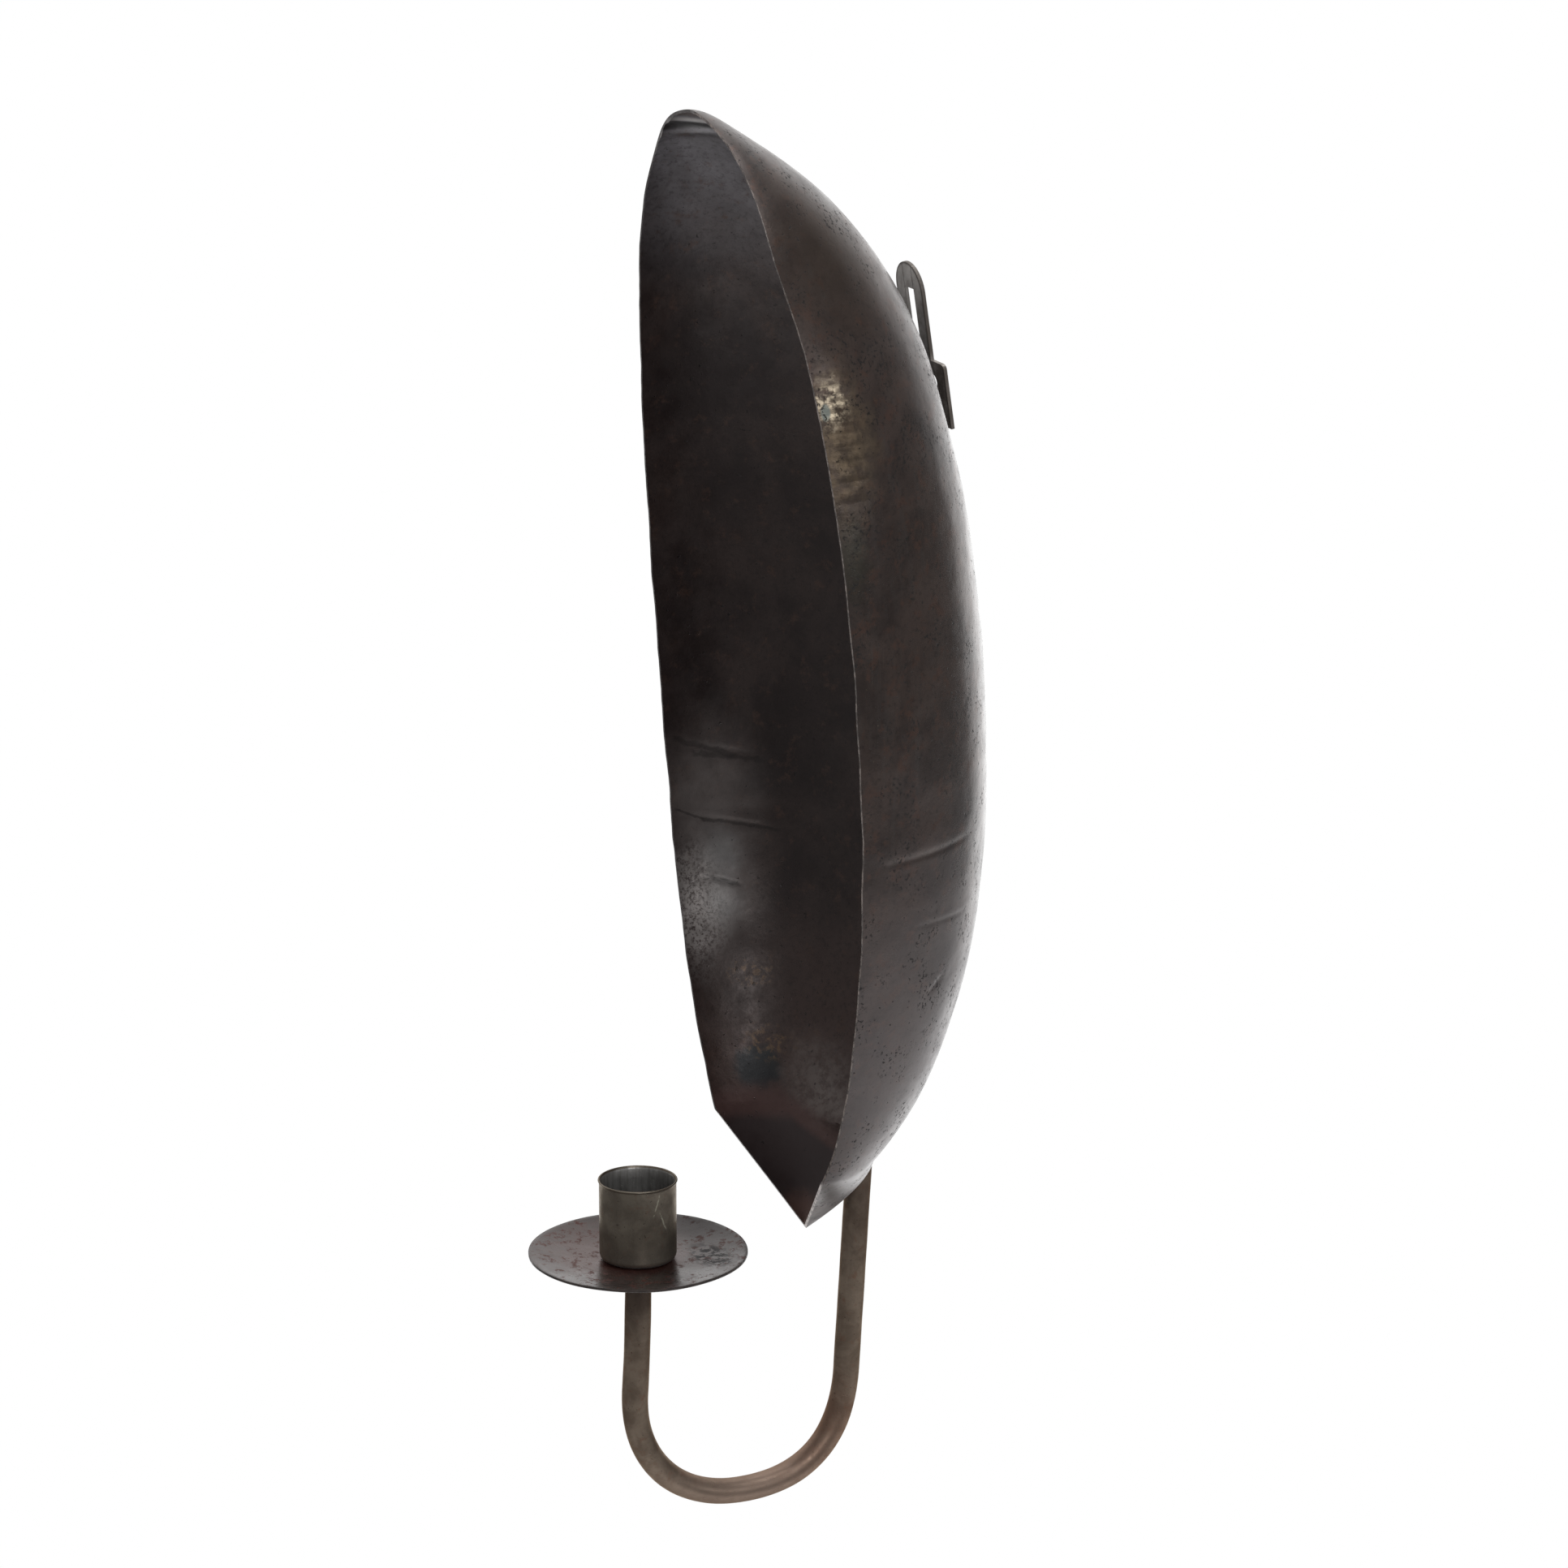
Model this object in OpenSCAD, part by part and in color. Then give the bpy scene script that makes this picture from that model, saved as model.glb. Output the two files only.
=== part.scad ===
// Wall candle holder: a tall sheet-metal reflector pod that hangs by a slotted
// plate, with a bent tube arm that carries a drip pan and a candle cup.
// Millimetres. X is across, -Y is the front, +Y is the wall and +Z is up.
// The origin is where the nail rests: the top of the hanger slot, mid plate.

/* [Reflector shell] */
// Height of the shell from its bottom point to its top lip
shell_h = 351; // [300:1:420]
// Width of the open front at its widest level
shell_w = 140; // [110:1:170]
// Depth behind the rim at the widest level
shell_depth = 68; // [56:1:80]
// Height of the widest level above the bottom point
widest_h = 181; // [150:1:210]
// Width of the open front where the folded point begins
corner_w = 76; // [60:1:90]
// Height of the folded point
point_h = 29; // [22:1:40]
// How far the fold carries the bottom point back towards the wall
point_back = 13; // [6:0.5:18]
// Roundness of the outline, where 2 is a true ellipse
fullness = 2.25; // [2:0.05:2.6]
// How far the top lip reaches forward of the upright stretch of rim
lip_bow = 24; // [10:1:40]
// Level above the bottom point where the rim starts to bow forward
bow_from = 45; // [30:1:80]
// Sheet thickness of the shell
sheet = 0.9; // [0.6:0.1:1.4]

/* [Hanger plate] */
// Distance of the slot's top edge below the shell's top lip
hang_drop = 58; // [51:1:76]
// Plate thickness
hanger_t = 1.2; // [0.8:0.1:2]
// Forward lean of the plate in degrees
hanger_lean = 8.6; // [4:0.2:14]
// Width of the tongue
tongue_w = 16.8; // [13:0.2:22]
// Height of the tongue above the base
tongue_h = 29; // [26:0.5:38]
// Width of the base
base_w = 32.6; // [28:0.2:40]
// Height of the base
base_h = 20; // [16:0.5:24]
// Corner radius of the base's shoulders
shoulder_r = 1.5; // [0.5:0.1:2.5]
// Width of the nail slot
slot_w = 5.6; // [4.6:0.1:6]
// Length of the nail slot
slot_l = 18; // [12:0.5:21]
// Metal left above the nail slot
slot_head = 8; // [6:0.2:9]
// Diameter of the two side holes in the base
side_hole_d = 4.6; // [3:0.1:5.5]
// Distance between the two side holes
side_hole_gap = 16.4; // [14:0.2:17]
// Distance from the base's shoulders down to the side holes
side_hole_drop = 6.6; // [5:0.2:8]

/* [Arm] */
// Outside diameter of the tube
tube_d = 8; // [7:0.1:10]
// Wall thickness of the tube
tube_wall = 0.8; // [0.6:0.1:1.2]
// Distance between the two legs, centre to centre
leg_spacing = 72.6; // [60:1:90]
// Lean of both legs towards the wall in degrees
leg_lean = 3.6; // [1:0.1:6]
// Level above the bottom point where the tube enters the shell
entry_h = 23; // [21:0.5:26]
// Length of the back leg from the shell down to the bend
back_leg = 72; // [50:1:100]
// Rise of the front leg, which curves until it stands upright under the pan
front_leg = 43.2; // [15:0.2:70]
// Length of tube inside the shell
tail = 24; // [20:1:28]
// Radial room around the tube in the shell's hole
entry_gap = 0.15; // [0.05:0.05:0.3]

/* [Drip pan] */
// Outside diameter of the pan
pan_d = 67; // [50:1:90]
// Height of the rim above the flat middle
pan_rise = 2.4; // [1:0.1:6]
// Diameter of the flat middle
pan_flat = 24; // [20:1:34]
// Sheet thickness of the pan
pan_t = 0.9; // [0.6:0.1:1.4]

/* [Candle cup] */
// Inside diameter, for a 22 mm candle
cup_bore = 22.4; // [20:0.1:24]
// Wall thickness
cup_wall = 0.6; // [0.4:0.1:1]
// Outside height
cup_h = 25.5; // [18:0.5:40]
// Outside radius of the bottom edge
cup_edge_r = 2.2; // [1.5:0.1:3]
// Height of the flared lip
cup_lip_h = 1; // [0.6:0.1:2]
// How far the lip flares outwards
cup_lip_flare = 0.35; // [0.1:0.05:0.8]

/* [Screw and bush] */
// Diameter of the cup screw's shank
screw_d = 4; // [3:0.1:4.5]
// Diameter of the screw head
screw_head_d = 8; // [6:0.1:10]
// Height of the screw head above the cup's floor
screw_head_h = 1.5; // [1:0.1:1.6]
// Length of the shank below the head
screw_l = 8; // [5:0.1:10]
// Width of the driver slot
driver_slot_w = 1; // [0.6:0.1:1.4]
// Length of the bush inside the front leg's upper end
bush_l = 7; // [5:0.1:9]
// Radial room around the screw's shank
screw_gap = 0.1; // [0.05:0.01:0.2]

/* [Solder] */
// Thickness of the solder between the shell and the plate's base
hanger_solder_t = 1; // [0.5:0.1:1.6]
// Width of the solder behind the base
hanger_solder_w = 26; // [12:1:27]
// Height of the solder behind the base
hanger_solder_h = 9; // [5:0.5:10]
// Thickness of the solder pad round the tube
arm_solder_t = 1.5; // [0.8:0.1:2]
// How far the solder pad reaches round the tube
arm_solder_reach = 2.4; // [1:0.1:3]
// Gap left between pieces that seat on each other
seat_gap = 0.05; // [0.02:0.01:0.1]

/* [Hidden] */
$fn = 64;

dark_patina = [0.22, 0.19, 0.18];
plate_steel = [0.32, 0.30, 0.29];
tube_bronze = [0.37, 0.33, 0.29];
pan_brown = [0.34, 0.29, 0.28];
cup_green = [0.24, 0.23, 0.20];
solder_grey = [0.45, 0.44, 0.42];
brass = [0.55, 0.45, 0.28];

// Shell outline: a superellipse above the fold and straight sides below it
top_axis = shell_h - widest_h;
low_axis = (widest_h - point_h) / squircle(corner_w / shell_w);
point_slope = corner_w / 2 / point_h;
point_skew = sqrt(1 + point_slope * point_slope);
// Share of the depth lost at the lip and at the fold, and how late it is lost
lip_flat = 0.6;
lip_flat_pow = 9;
point_flat = 0.35;
point_flat_pow = 6;
// Bluntness of the point's underside
keel_pow = 1.7;

// Rings of the shell: in the folded point, then on up to the lip
point_rings = 5;
body_rings = 27;
around = 24;
corner_angle = asin((point_h - widest_h) / low_axis);

// Levels in the shell's own frame are heights above its bottom point
shell_z = hang_drop - shell_h;
plate_bottom_s = slot_head - tongue_h - base_h;
seat_s = plate_bottom_s + hanger_solder_h / 2;
seat_z = seat_s * cos(hanger_lean);
seat_front_y = -seat_s * sin(hanger_lean) - hanger_t / 2;
shell_y = seat_front_y - hanger_solder_t - back_y(seat_z - shell_z);

tube_r = tube_d / 2;
bend_r = leg_spacing / 2;
lean_dir = [0, sin(leg_lean), cos(leg_lean)];
entry = [0, shell_y + back_y(entry_h), shell_z + entry_h];
back_tangent = entry - back_leg * lean_dir;
bend_centre = back_tangent - bend_r * [0, cos(leg_lean), -sin(leg_lean)];
front_r = front_leg / sin(leg_lean);
front_centre = bend_centre - (bend_r + front_r) * [0, cos(leg_lean), -sin(leg_lean)];
arm_top = front_centre + [0, front_r, 0];

pan_base = arm_top + [0, 0, seat_gap];
cup_base = pan_base + [0, 0, pan_t + seat_gap];
cup_floor = cup_base + [0, 0, cup_wall + seat_gap];
screw_hole_r = screw_d / 2 + screw_gap;

// Height of a unit superellipse at a distance u from its middle
function squircle(u) = pow(max(0, 1 - pow(abs(u), fullness)), 1 / fullness);

// Half width of the shell at a level, drawn in by an inset
function half_w(z, inset) = z < point_h
    ? point_half_w(z, inset)
    : min(body_half_w(z, inset), point_half_w(z, inset));
function point_half_w(z, inset) = point_slope * z - inset * point_skew;
function body_half_w(z, inset) =
    (shell_w / 2 - inset) * squircle((z - widest_h) / (axis_at(z) - inset));
function axis_at(z) = z > widest_h ? top_axis : low_axis;

// Share of the depth that is flattened away at a level
function flat_at(z) = z > widest_h
    ? lip_flat * pow((z - widest_h) / top_axis, lip_flat_pow)
    : point_flat * pow((widest_h - z) / low_axis, point_flat_pow);
function body_depth(z) = shell_depth * half_w(z, 0) / (shell_w / 2) * (1 - flat_at(z));
function depth_at(z) = z < point_h
    ? body_depth(point_h) * (1 - pow(1 - z / point_h, keel_pow))
    : body_depth(z);

// The rim seen from the side: bowed forward above and bent back at the point
function rim_y(z) = point_back * max(0, 1 - z / point_h)
    - lip_bow * pow(max(0, z - bow_from) / (shell_h - bow_from), 2);
function back_y(z) = rim_y(z) + depth_at(z);

// One point of the section at a level, from the right rim round to the left
function skin_point(z, inset, angle) = [
    half_w(z, inset) * cos(angle),
    rim_y(z) + depth_at(z) * half_w(z, inset) / half_w(z, 0) * sin(angle),
    z
];
function section(z, inset) = [
    for (k = [0 : around]) skin_point(z, inset, 180 * k / around)
];

// Levels of the rings, and the same levels for a skin drawn in by an inset
ring_levels = concat(
    [for (k = [1 : point_rings]) point_h * k / point_rings],
    [for (k = [1 : body_rings - 1]) body_level(corner_angle, k / body_rings)]
);
function body_level(from, share) = let(a = from + (90 - from) * share)
    widest_h + (a > 0 ? top_axis : low_axis) * sin(a);
function inset_foot(inset) = inset * point_skew / point_slope;
function inset_level(z, inset) =
    inset_foot(inset) + z * (shell_h - inset - inset_foot(inset)) / shell_h;

// Open thin-walled pod: an outer skin, an inner skin and the rim between them
module pod_skin(t) {
    rings = len(ring_levels);
    row = around + 1;
    outer = [for (z = ring_levels) each section(z, 0)];
    inner = [for (z = ring_levels) each section(inset_level(z, t), t)];
    ends = [
        [0, rim_y(0), 0],
        [0, rim_y(shell_h), shell_h],
        [0, rim_y(inset_foot(t)), inset_foot(t)],
        [0, rim_y(shell_h - t), shell_h - t]
    ];
    half = rings * row;
    tip = 2 * half;
    lip = tip + 1;
    tip_in = tip + 2;
    lip_in = tip + 3;
    last = (rings - 1) * row;
    walls = [
        for (i = [0 : rings - 2], k = [0 : around - 1])
            let(a = i * row + k, b = a + row)
            each [
                [a, b + 1, a + 1], [a, b, b + 1],
                [half + a, half + a + 1, half + b + 1], [half + a, half + b + 1, half + b]
            ]
    ];
    caps = [
        for (k = [0 : around - 1]) each [
            [tip, k, k + 1],
            [lip, last + k + 1, last + k],
            [tip_in, half + k + 1, half + k],
            [lip_in, half + last + k, half + last + k + 1]
        ]
    ];
    rim = [
        for (i = [0 : rings - 2]) let(a = i * row, b = a + row) each [
            [a, half + a, half + b], [a, half + b, b],
            [a + around, half + b + around, half + a + around],
            [a + around, b + around, half + b + around]
        ]
    ];
    rim_ends = [
        [tip, half, 0], [tip, tip_in, half],
        [tip, around, half + around], [tip, half + around, tip_in],
        [lip, last, half + last], [lip, half + last, lip_in],
        [lip, half + last + around, last + around], [lip, lip_in, half + last + around]
    ];
    polyhedron(
        points = concat(outer, inner, ends),
        faces = concat(walls, caps, rim, rim_ends),
        convexity = 6
    );
}

// Solid slice of the pod between the given levels, drawn in by an inset.
// Cut at the skin's own rings, it runs parallel to the skin's facets.
module pod_slice(cuts, inset) {
    row = around + 1;
    last = (len(cuts) - 1) * row;
    sides = [
        for (i = [0 : len(cuts) - 2], k = [0 : around])
            let(a = i * row + k, a2 = i * row + (k + 1) % row)
            each [[a, a2 + row, a2], [a, a + row, a2 + row]]
    ];
    polyhedron(
        points = [for (z = cuts) each section(z, inset)],
        faces = concat(
            sides,
            [[for (k = [0 : around]) k]],
            [[for (k = [around : -1 : 0]) last + k]]
        ),
        convexity = 2
    );
}

// A rod along the leg's line through the shell, from and to given distances
module entry_rod(r, from, to) {
    translate(entry) rotate([-leg_lean, 0, 0])
        translate([0, 0, from]) cylinder(r = r, h = to - from);
}

module reflector_shell() {
    color(dark_patina) difference() {
        translate([0, shell_y, shell_z]) pod_skin(sheet);
        entry_rod(tube_r + entry_gap, -0.7 * entry_h, 0.9 * tail);
    }
}

// The plate's own frame: s runs up the plate from the slot's top edge
module on_plate() {
    rotate([hanger_lean, 0, 0]) rotate([90, 0, 0]) children();
}

module plate_outline() {
    shoulder_s = slot_head - tongue_h;
    tongue_r = tongue_w / 2;
    translate([0, slot_head - tongue_r]) circle(r = tongue_r);
    translate([-tongue_r, shoulder_s - 1])
        square([tongue_w, slot_head - tongue_r - shoulder_s + 1]);
    translate([-base_w / 2, plate_bottom_s])
        square([base_w, base_h - shoulder_r]);
    translate([-base_w / 2 + shoulder_r, shoulder_s - 2 * shoulder_r])
        square([base_w - 2 * shoulder_r, 2 * shoulder_r]);
    for (side = [-1, 1])
        translate([side * (base_w / 2 - shoulder_r), shoulder_s - shoulder_r])
            circle(r = shoulder_r);
}

module hanger_plate() {
    hole_s = slot_head - tongue_h - side_hole_drop;
    color(plate_steel) on_plate() translate([0, 0, -hanger_t / 2])
        linear_extrude(hanger_t) difference() {
            plate_outline();
            translate([-slot_w / 2, -slot_l]) square([slot_w, slot_l]);
            for (side = [-1, 1])
                translate([side * side_hole_gap / 2, hole_s]) circle(d = side_hole_d);
        }
}

module hanger_solder() {
    seat_level = seat_z - shell_z;
    reach = hanger_solder_t + shell_depth / 8;
    cuts = [for (z = ring_levels) if (abs(z - seat_level) < 3 * hanger_solder_h) z];
    color(solder_grey) difference() {
        on_plate() translate([-hanger_solder_w / 2, plate_bottom_s, hanger_t / 2 + seat_gap])
            cube([hanger_solder_w, hanger_solder_h, reach]);
        translate([0, shell_y, shell_z])
            pod_slice(cuts, -seat_gap);
    }
}

// Tube ring, and a bend of it in the upright plane round a centre at level 0.
// A bend's angle is 0 straight down and grows towards the wall.
module tube_ring() {
    difference() {
        circle(r = tube_r, $fn = 32);
        circle(r = tube_r - tube_wall, $fn = 32);
    }
}
module tube_bend(centre_y, r, from, sweep) {
    translate([0, centre_y, 0]) rotate([0, 90, 0]) rotate([0, 0, from])
        rotate_extrude(angle = sweep) translate([r, 0]) tube_ring();
}

module arm_tube() {
    color(tube_bronze) translate(bend_centre) rotate([-leg_lean, 0, 0]) {
        tube_bend(0, bend_r, -90, 180);
        tube_bend(-bend_r - front_r, front_r, 90, leg_lean);
        translate([0, bend_r, 0]) rotate([0, 0, 90])
            linear_extrude(back_leg + tail) tube_ring();
    }
}

module arm_solder() {
    cuts = [for (z = ring_levels) if (z < entry_h + 2 * tail) inset_level(z, sheet)];
    color(solder_grey) difference() {
        intersection() {
            entry_rod(tube_r + arm_solder_reach, -entry_h, tail);
            translate([0, shell_y, shell_z]) pod_slice(cuts, sheet + seat_gap);
        }
        translate([0, shell_y, shell_z]) pod_slice(cuts, sheet + arm_solder_t);
        entry_rod(tube_r + seat_gap, -entry_h - 1, tail + 1);
    }
}

module arm_bush() {
    color(brass) translate(arm_top - [0, 0, bush_l]) difference() {
        cylinder(r = tube_r - tube_wall - seat_gap, h = bush_l);
        translate([0, 0, -1]) cylinder(r = screw_hole_r, h = bush_l + 2);
    }
}

// Dish profile: flat in the middle, then an arc that climbs to the rim
function dish_height(r) = pan_rise * pow(max(0, r - pan_flat / 2) / (pan_d / 2 - pan_flat / 2), 2);
module drip_pan() {
    steps = 8;
    radii = [for (k = [0 : steps]) pan_flat / 2 + (pan_d - pan_flat) / 2 * k / steps];
    color(pan_brown) translate(pan_base) rotate_extrude($fn = 96) polygon(concat(
        [[screw_hole_r, 0]],
        [for (r = radii) [r, dish_height(r)]],
        [for (k = [steps : -1 : 0]) [radii[k], dish_height(radii[k]) + pan_t]],
        [[screw_hole_r, pan_t]]
    ));
}

// Quarter circle of a radius round a centre, between two angles
function arc(centre, r, from, to, steps = 8) = [
    for (k = [0 : steps]) let(a = from + (to - from) * k / steps)
        centre + r * [cos(a), sin(a)]
];
module candle_cup() {
    bore_r = cup_bore / 2;
    out_r = bore_r + cup_wall;
    lip_z = cup_h - cup_lip_h;
    edge = [out_r - cup_edge_r, cup_edge_r];
    color(cup_green) translate(cup_base) rotate_extrude($fn = 96) polygon(concat(
        [[screw_hole_r, 0]],
        arc(edge, cup_edge_r, -90, 0),
        [[out_r, lip_z], [out_r + cup_lip_flare, cup_h]],
        [[bore_r + cup_lip_flare, cup_h], [bore_r, lip_z]],
        arc(edge, cup_edge_r - cup_wall, 0, -90),
        [[screw_hole_r, cup_wall]]
    ));
}

module cup_screw() {
    slot_depth = 0.6 * screw_head_h;
    color(brass) translate(cup_floor) difference() {
        union() {
            cylinder(d = screw_head_d, h = screw_head_h);
            translate([0, 0, -screw_l]) cylinder(d = screw_d, h = screw_l + 0.5 * screw_head_h);
        }
        translate([-screw_head_d, -driver_slot_w / 2, screw_head_h - slot_depth])
            cube([2 * screw_head_d, driver_slot_w, screw_head_h]);
    }
}

reflector_shell();
hanger_plate();
hanger_solder();
arm_tube();
arm_solder();
arm_bush();
drip_pan();
candle_cup();
cup_screw();
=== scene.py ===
import math

import bpy
import numpy as np
from mathutils import Matrix, Vector, noise


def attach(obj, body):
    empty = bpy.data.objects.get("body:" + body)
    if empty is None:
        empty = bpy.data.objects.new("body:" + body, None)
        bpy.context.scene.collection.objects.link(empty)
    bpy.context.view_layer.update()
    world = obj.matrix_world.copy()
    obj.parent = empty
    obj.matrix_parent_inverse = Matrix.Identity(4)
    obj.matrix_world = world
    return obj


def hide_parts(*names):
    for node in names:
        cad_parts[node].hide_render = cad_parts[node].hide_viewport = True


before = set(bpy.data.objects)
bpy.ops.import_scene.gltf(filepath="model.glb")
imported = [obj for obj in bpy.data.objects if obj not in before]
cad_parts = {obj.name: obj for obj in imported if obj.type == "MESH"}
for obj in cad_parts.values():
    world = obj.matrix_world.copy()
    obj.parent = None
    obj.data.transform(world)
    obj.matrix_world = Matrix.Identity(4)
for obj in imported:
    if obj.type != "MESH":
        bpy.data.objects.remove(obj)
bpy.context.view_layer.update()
bpy.context.scene.view_settings.view_transform = "Standard"
MM = 0.001

# Sizes of the reflector shell, in millimetres
SHELL_H = 351.0
SHELL_W = 140.0
SHELL_DEPTH = 68.0
WIDEST_H = 181.0
CORNER_W = 76.0
POINT_H = 29.0
POINT_BACK = 13.0
FULLNESS = 2.25
LIP_BOW = 24.0
BOW_FROM = 45.0
SHEET = 0.9
LIP_FLAT = 0.6
LIP_FLAT_POW = 9.0
POINT_FLAT = 0.35
POINT_FLAT_POW = 6.0
KEEL_POW = 1.7
SHELL_Y = -47.4353
SHELL_Z = -293.0

# Sizes of the hanger plate
HANGER_T = 1.2
HANGER_LEAN = math.radians(8.6)
TONGUE_W = 16.8
TONGUE_H = 29.0
BASE_W = 32.6
BASE_H = 20.0
SHOULDER_R = 1.5
SLOT_W = 5.6
SLOT_L = 18.0
SLOT_HEAD = 8.0
SIDE_HOLE_D = 4.6
SIDE_HOLE_GAP = 16.4
SIDE_HOLE_DROP = 6.6
SIDE_HOLE_SIDES = 24

# Sizes of the arm, and the places that follow from them
TUBE_R = 4.0
TUBE_WALL = 0.8
BEND_R = 36.3
LEG_LEAN = math.radians(3.6)
ENTRY_Z = -270.0
ENTRY_Y = -15.8951
BACK_LEG = 72.0
FRONT_LEG = 43.2
TAIL = 24.0
ENTRY_GAP = 0.15
UP = Vector((0.0, math.sin(LEG_LEAN), math.cos(LEG_LEAN)))
OUT = Vector((0.0, math.cos(LEG_LEAN), -math.sin(LEG_LEAN)))
ENTRY = Vector((0.0, ENTRY_Y, ENTRY_Z))
BEND_CENTRE = ENTRY - BACK_LEG * UP - BEND_R * OUT
FRONT_R = FRONT_LEG / math.sin(LEG_LEAN)
FRONT_CENTRE = BEND_CENTRE - (BEND_R + FRONT_R) * OUT
ARM_TOP = FRONT_CENTRE + Vector((0.0, FRONT_R, 0.0))

# Sizes of the pan, the cup and the screw
SEAT_GAP = 0.05
PAN_R = 33.5
PAN_RISE = 2.4
PAN_FLAT_R = 12.0
PAN_T = 0.9
CUP_BORE_R = 11.2
CUP_WALL = 0.6
CUP_H = 25.5
CUP_EDGE_R = 2.2
CUP_LIP_H = 1.0
CUP_LIP_FLARE = 0.35
SCREW_R = 2.0
SCREW_HEAD_R = 4.0
SCREW_HEAD_H = 1.5
SCREW_L = 8.0
SCREW_HOLE_R = 2.1
DRIVER_SLOT_W = 1.0
PAN_BASE = ARM_TOP + Vector((0.0, 0.0, SEAT_GAP))
CUP_BASE = PAN_BASE + Vector((0.0, 0.0, PAN_T + SEAT_GAP))
CUP_FLOOR = CUP_BASE + Vector((0.0, 0.0, CUP_WALL + SEAT_GAP))


# Mesh helpers: points are given in millimetres
def add_object(name, data):
    obj = bpy.data.objects.new(name, data)
    bpy.context.scene.collection.objects.link(obj)
    return obj


def shade_smooth(mesh):
    mesh.polygons.foreach_set("use_smooth", [True] * len(mesh.polygons))


def make_object(name, points, faces, smooth=True):
    mesh = bpy.data.meshes.new(name)
    mesh.from_pydata([tuple(c * MM for c in p) for p in points], [], faces)
    mesh.validate()
    mesh.update()
    if smooth:
        shade_smooth(mesh)
    return add_object(name, mesh)


def dress(obj, *materials):
    for material in materials:
        obj.data.materials.append(material)


def evaluated_mesh(obj):
    graph = bpy.context.evaluated_depsgraph_get()
    return bpy.data.meshes.new_from_object(obj.evaluated_get(graph))


def apply_modifiers(obj):
    mesh = evaluated_mesh(obj)
    obj.modifiers.clear()
    obj.data = mesh


def cut(obj, cutter):
    boolean = obj.modifiers.new("cut", "BOOLEAN")
    boolean.object = cutter
    boolean.operation = "DIFFERENCE"
    boolean.solver = "MANIFOLD"
    apply_modifiers(obj)
    bpy.data.objects.remove(cutter)


def sharpen(obj, degrees):
    """Keeps edges that turn by more than this angle crisp."""
    obj.data.set_sharp_from_angle(angle=math.radians(degrees))


def revolve(name, profile, base, segments, ripple=None):
    """Closed solid of revolution of a closed profile of (radius, height) pairs."""
    points = []
    for s in range(segments):
        angle = 2 * math.pi * s / segments
        for r, z in profile:
            lift = ripple(r, angle) if ripple else 0.0
            x = r * math.cos(angle) + base.x
            y = r * math.sin(angle) + base.y
            points.append((x, y, z + lift + base.z))
    count = len(profile)
    faces = []
    for s in range(segments):
        a = s * count
        b = ((s + 1) % segments) * count
        for k in range(count):
            n = (k + 1) % count
            faces.append((a + k, b + k, b + n, a + n))
    return make_object(name, points, faces)


def arc(cx, cz, radius, start, end, steps):
    """Points on an arc, angles in degrees."""
    angles = np.radians(np.linspace(start, end, steps + 1))
    return [(cx + radius * math.cos(a), cz + radius * math.sin(a)) for a in angles]


# Shape of the shell: a superellipse outline, drawn in by an inset for the inner skin
TOP_AXIS = SHELL_H - WIDEST_H


def squircle(u):
    return max(0.0, 1 - abs(u) ** FULLNESS) ** (1 / FULLNESS)


LOW_AXIS = (WIDEST_H - POINT_H) / squircle(CORNER_W / SHELL_W)
POINT_SLOPE = CORNER_W / 2 / POINT_H
POINT_SKEW = math.hypot(1, POINT_SLOPE)


def half_width(z, inset=0.0):
    straight = POINT_SLOPE * z - inset * POINT_SKEW
    if z < POINT_H:
        return straight
    axis = TOP_AXIS if z > WIDEST_H else LOW_AXIS
    return min((SHELL_W / 2 - inset) * squircle((z - WIDEST_H) / (axis - inset)), straight)


def depth(z):
    level = max(z, POINT_H)
    if level > WIDEST_H:
        flat = LIP_FLAT * ((level - WIDEST_H) / TOP_AXIS) ** LIP_FLAT_POW
    else:
        flat = POINT_FLAT * ((WIDEST_H - level) / LOW_AXIS) ** POINT_FLAT_POW
    full = SHELL_DEPTH * half_width(level) / (SHELL_W / 2) * (1 - flat)
    if z < POINT_H:
        full *= 1 - (1 - z / POINT_H) ** KEEL_POW
    return full


def rim_y(z):
    bow = LIP_BOW * (max(0.0, z - BOW_FROM) / (SHELL_H - BOW_FROM)) ** 2
    return SHELL_Y + POINT_BACK * max(0.0, 1 - z / POINT_H) - bow


RINGS = 240
AROUND = 144
POINT_RINGS = 24
DENSE_ZONES = [(88.0, 101.0), (108.0, 145.0), (244.0, 306.0)]
DENSE_STEP = 0.45
ANGLES = np.linspace(0.0, math.pi, AROUND + 1)


def shell_levels():
    point = [POINT_H * k / POINT_RINGS for k in range(1, POINT_RINGS + 1)]
    start = math.asin((POINT_H - WIDEST_H) / LOW_AXIS)
    body = []
    for k in range(1, RINGS):
        a = start + (math.pi / 2 - start) * k / RINGS
        z = WIDEST_H + (TOP_AXIS if a > 0 else LOW_AXIS) * math.sin(a)
        if not any(low <= z < high for low, high in DENSE_ZONES):
            body.append(z)
    for low, high in DENSE_ZONES:
        body.extend(np.arange(low, high, DENSE_STEP))
    return point + sorted(body)


def skin(levels, inset):
    """Rows of skin points, each from the right rim round the back to the left rim."""
    rows = []
    for z in levels:
        width = half_width(z, inset)
        back = depth(z) * width / half_width(z)
        x = width * np.cos(ANGLES)
        y = rim_y(z) + back * np.sin(ANGLES)
        rows.append(np.column_stack([x, y, np.full(len(ANGLES), SHELL_Z + z)]))
    return np.array(rows)


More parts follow.
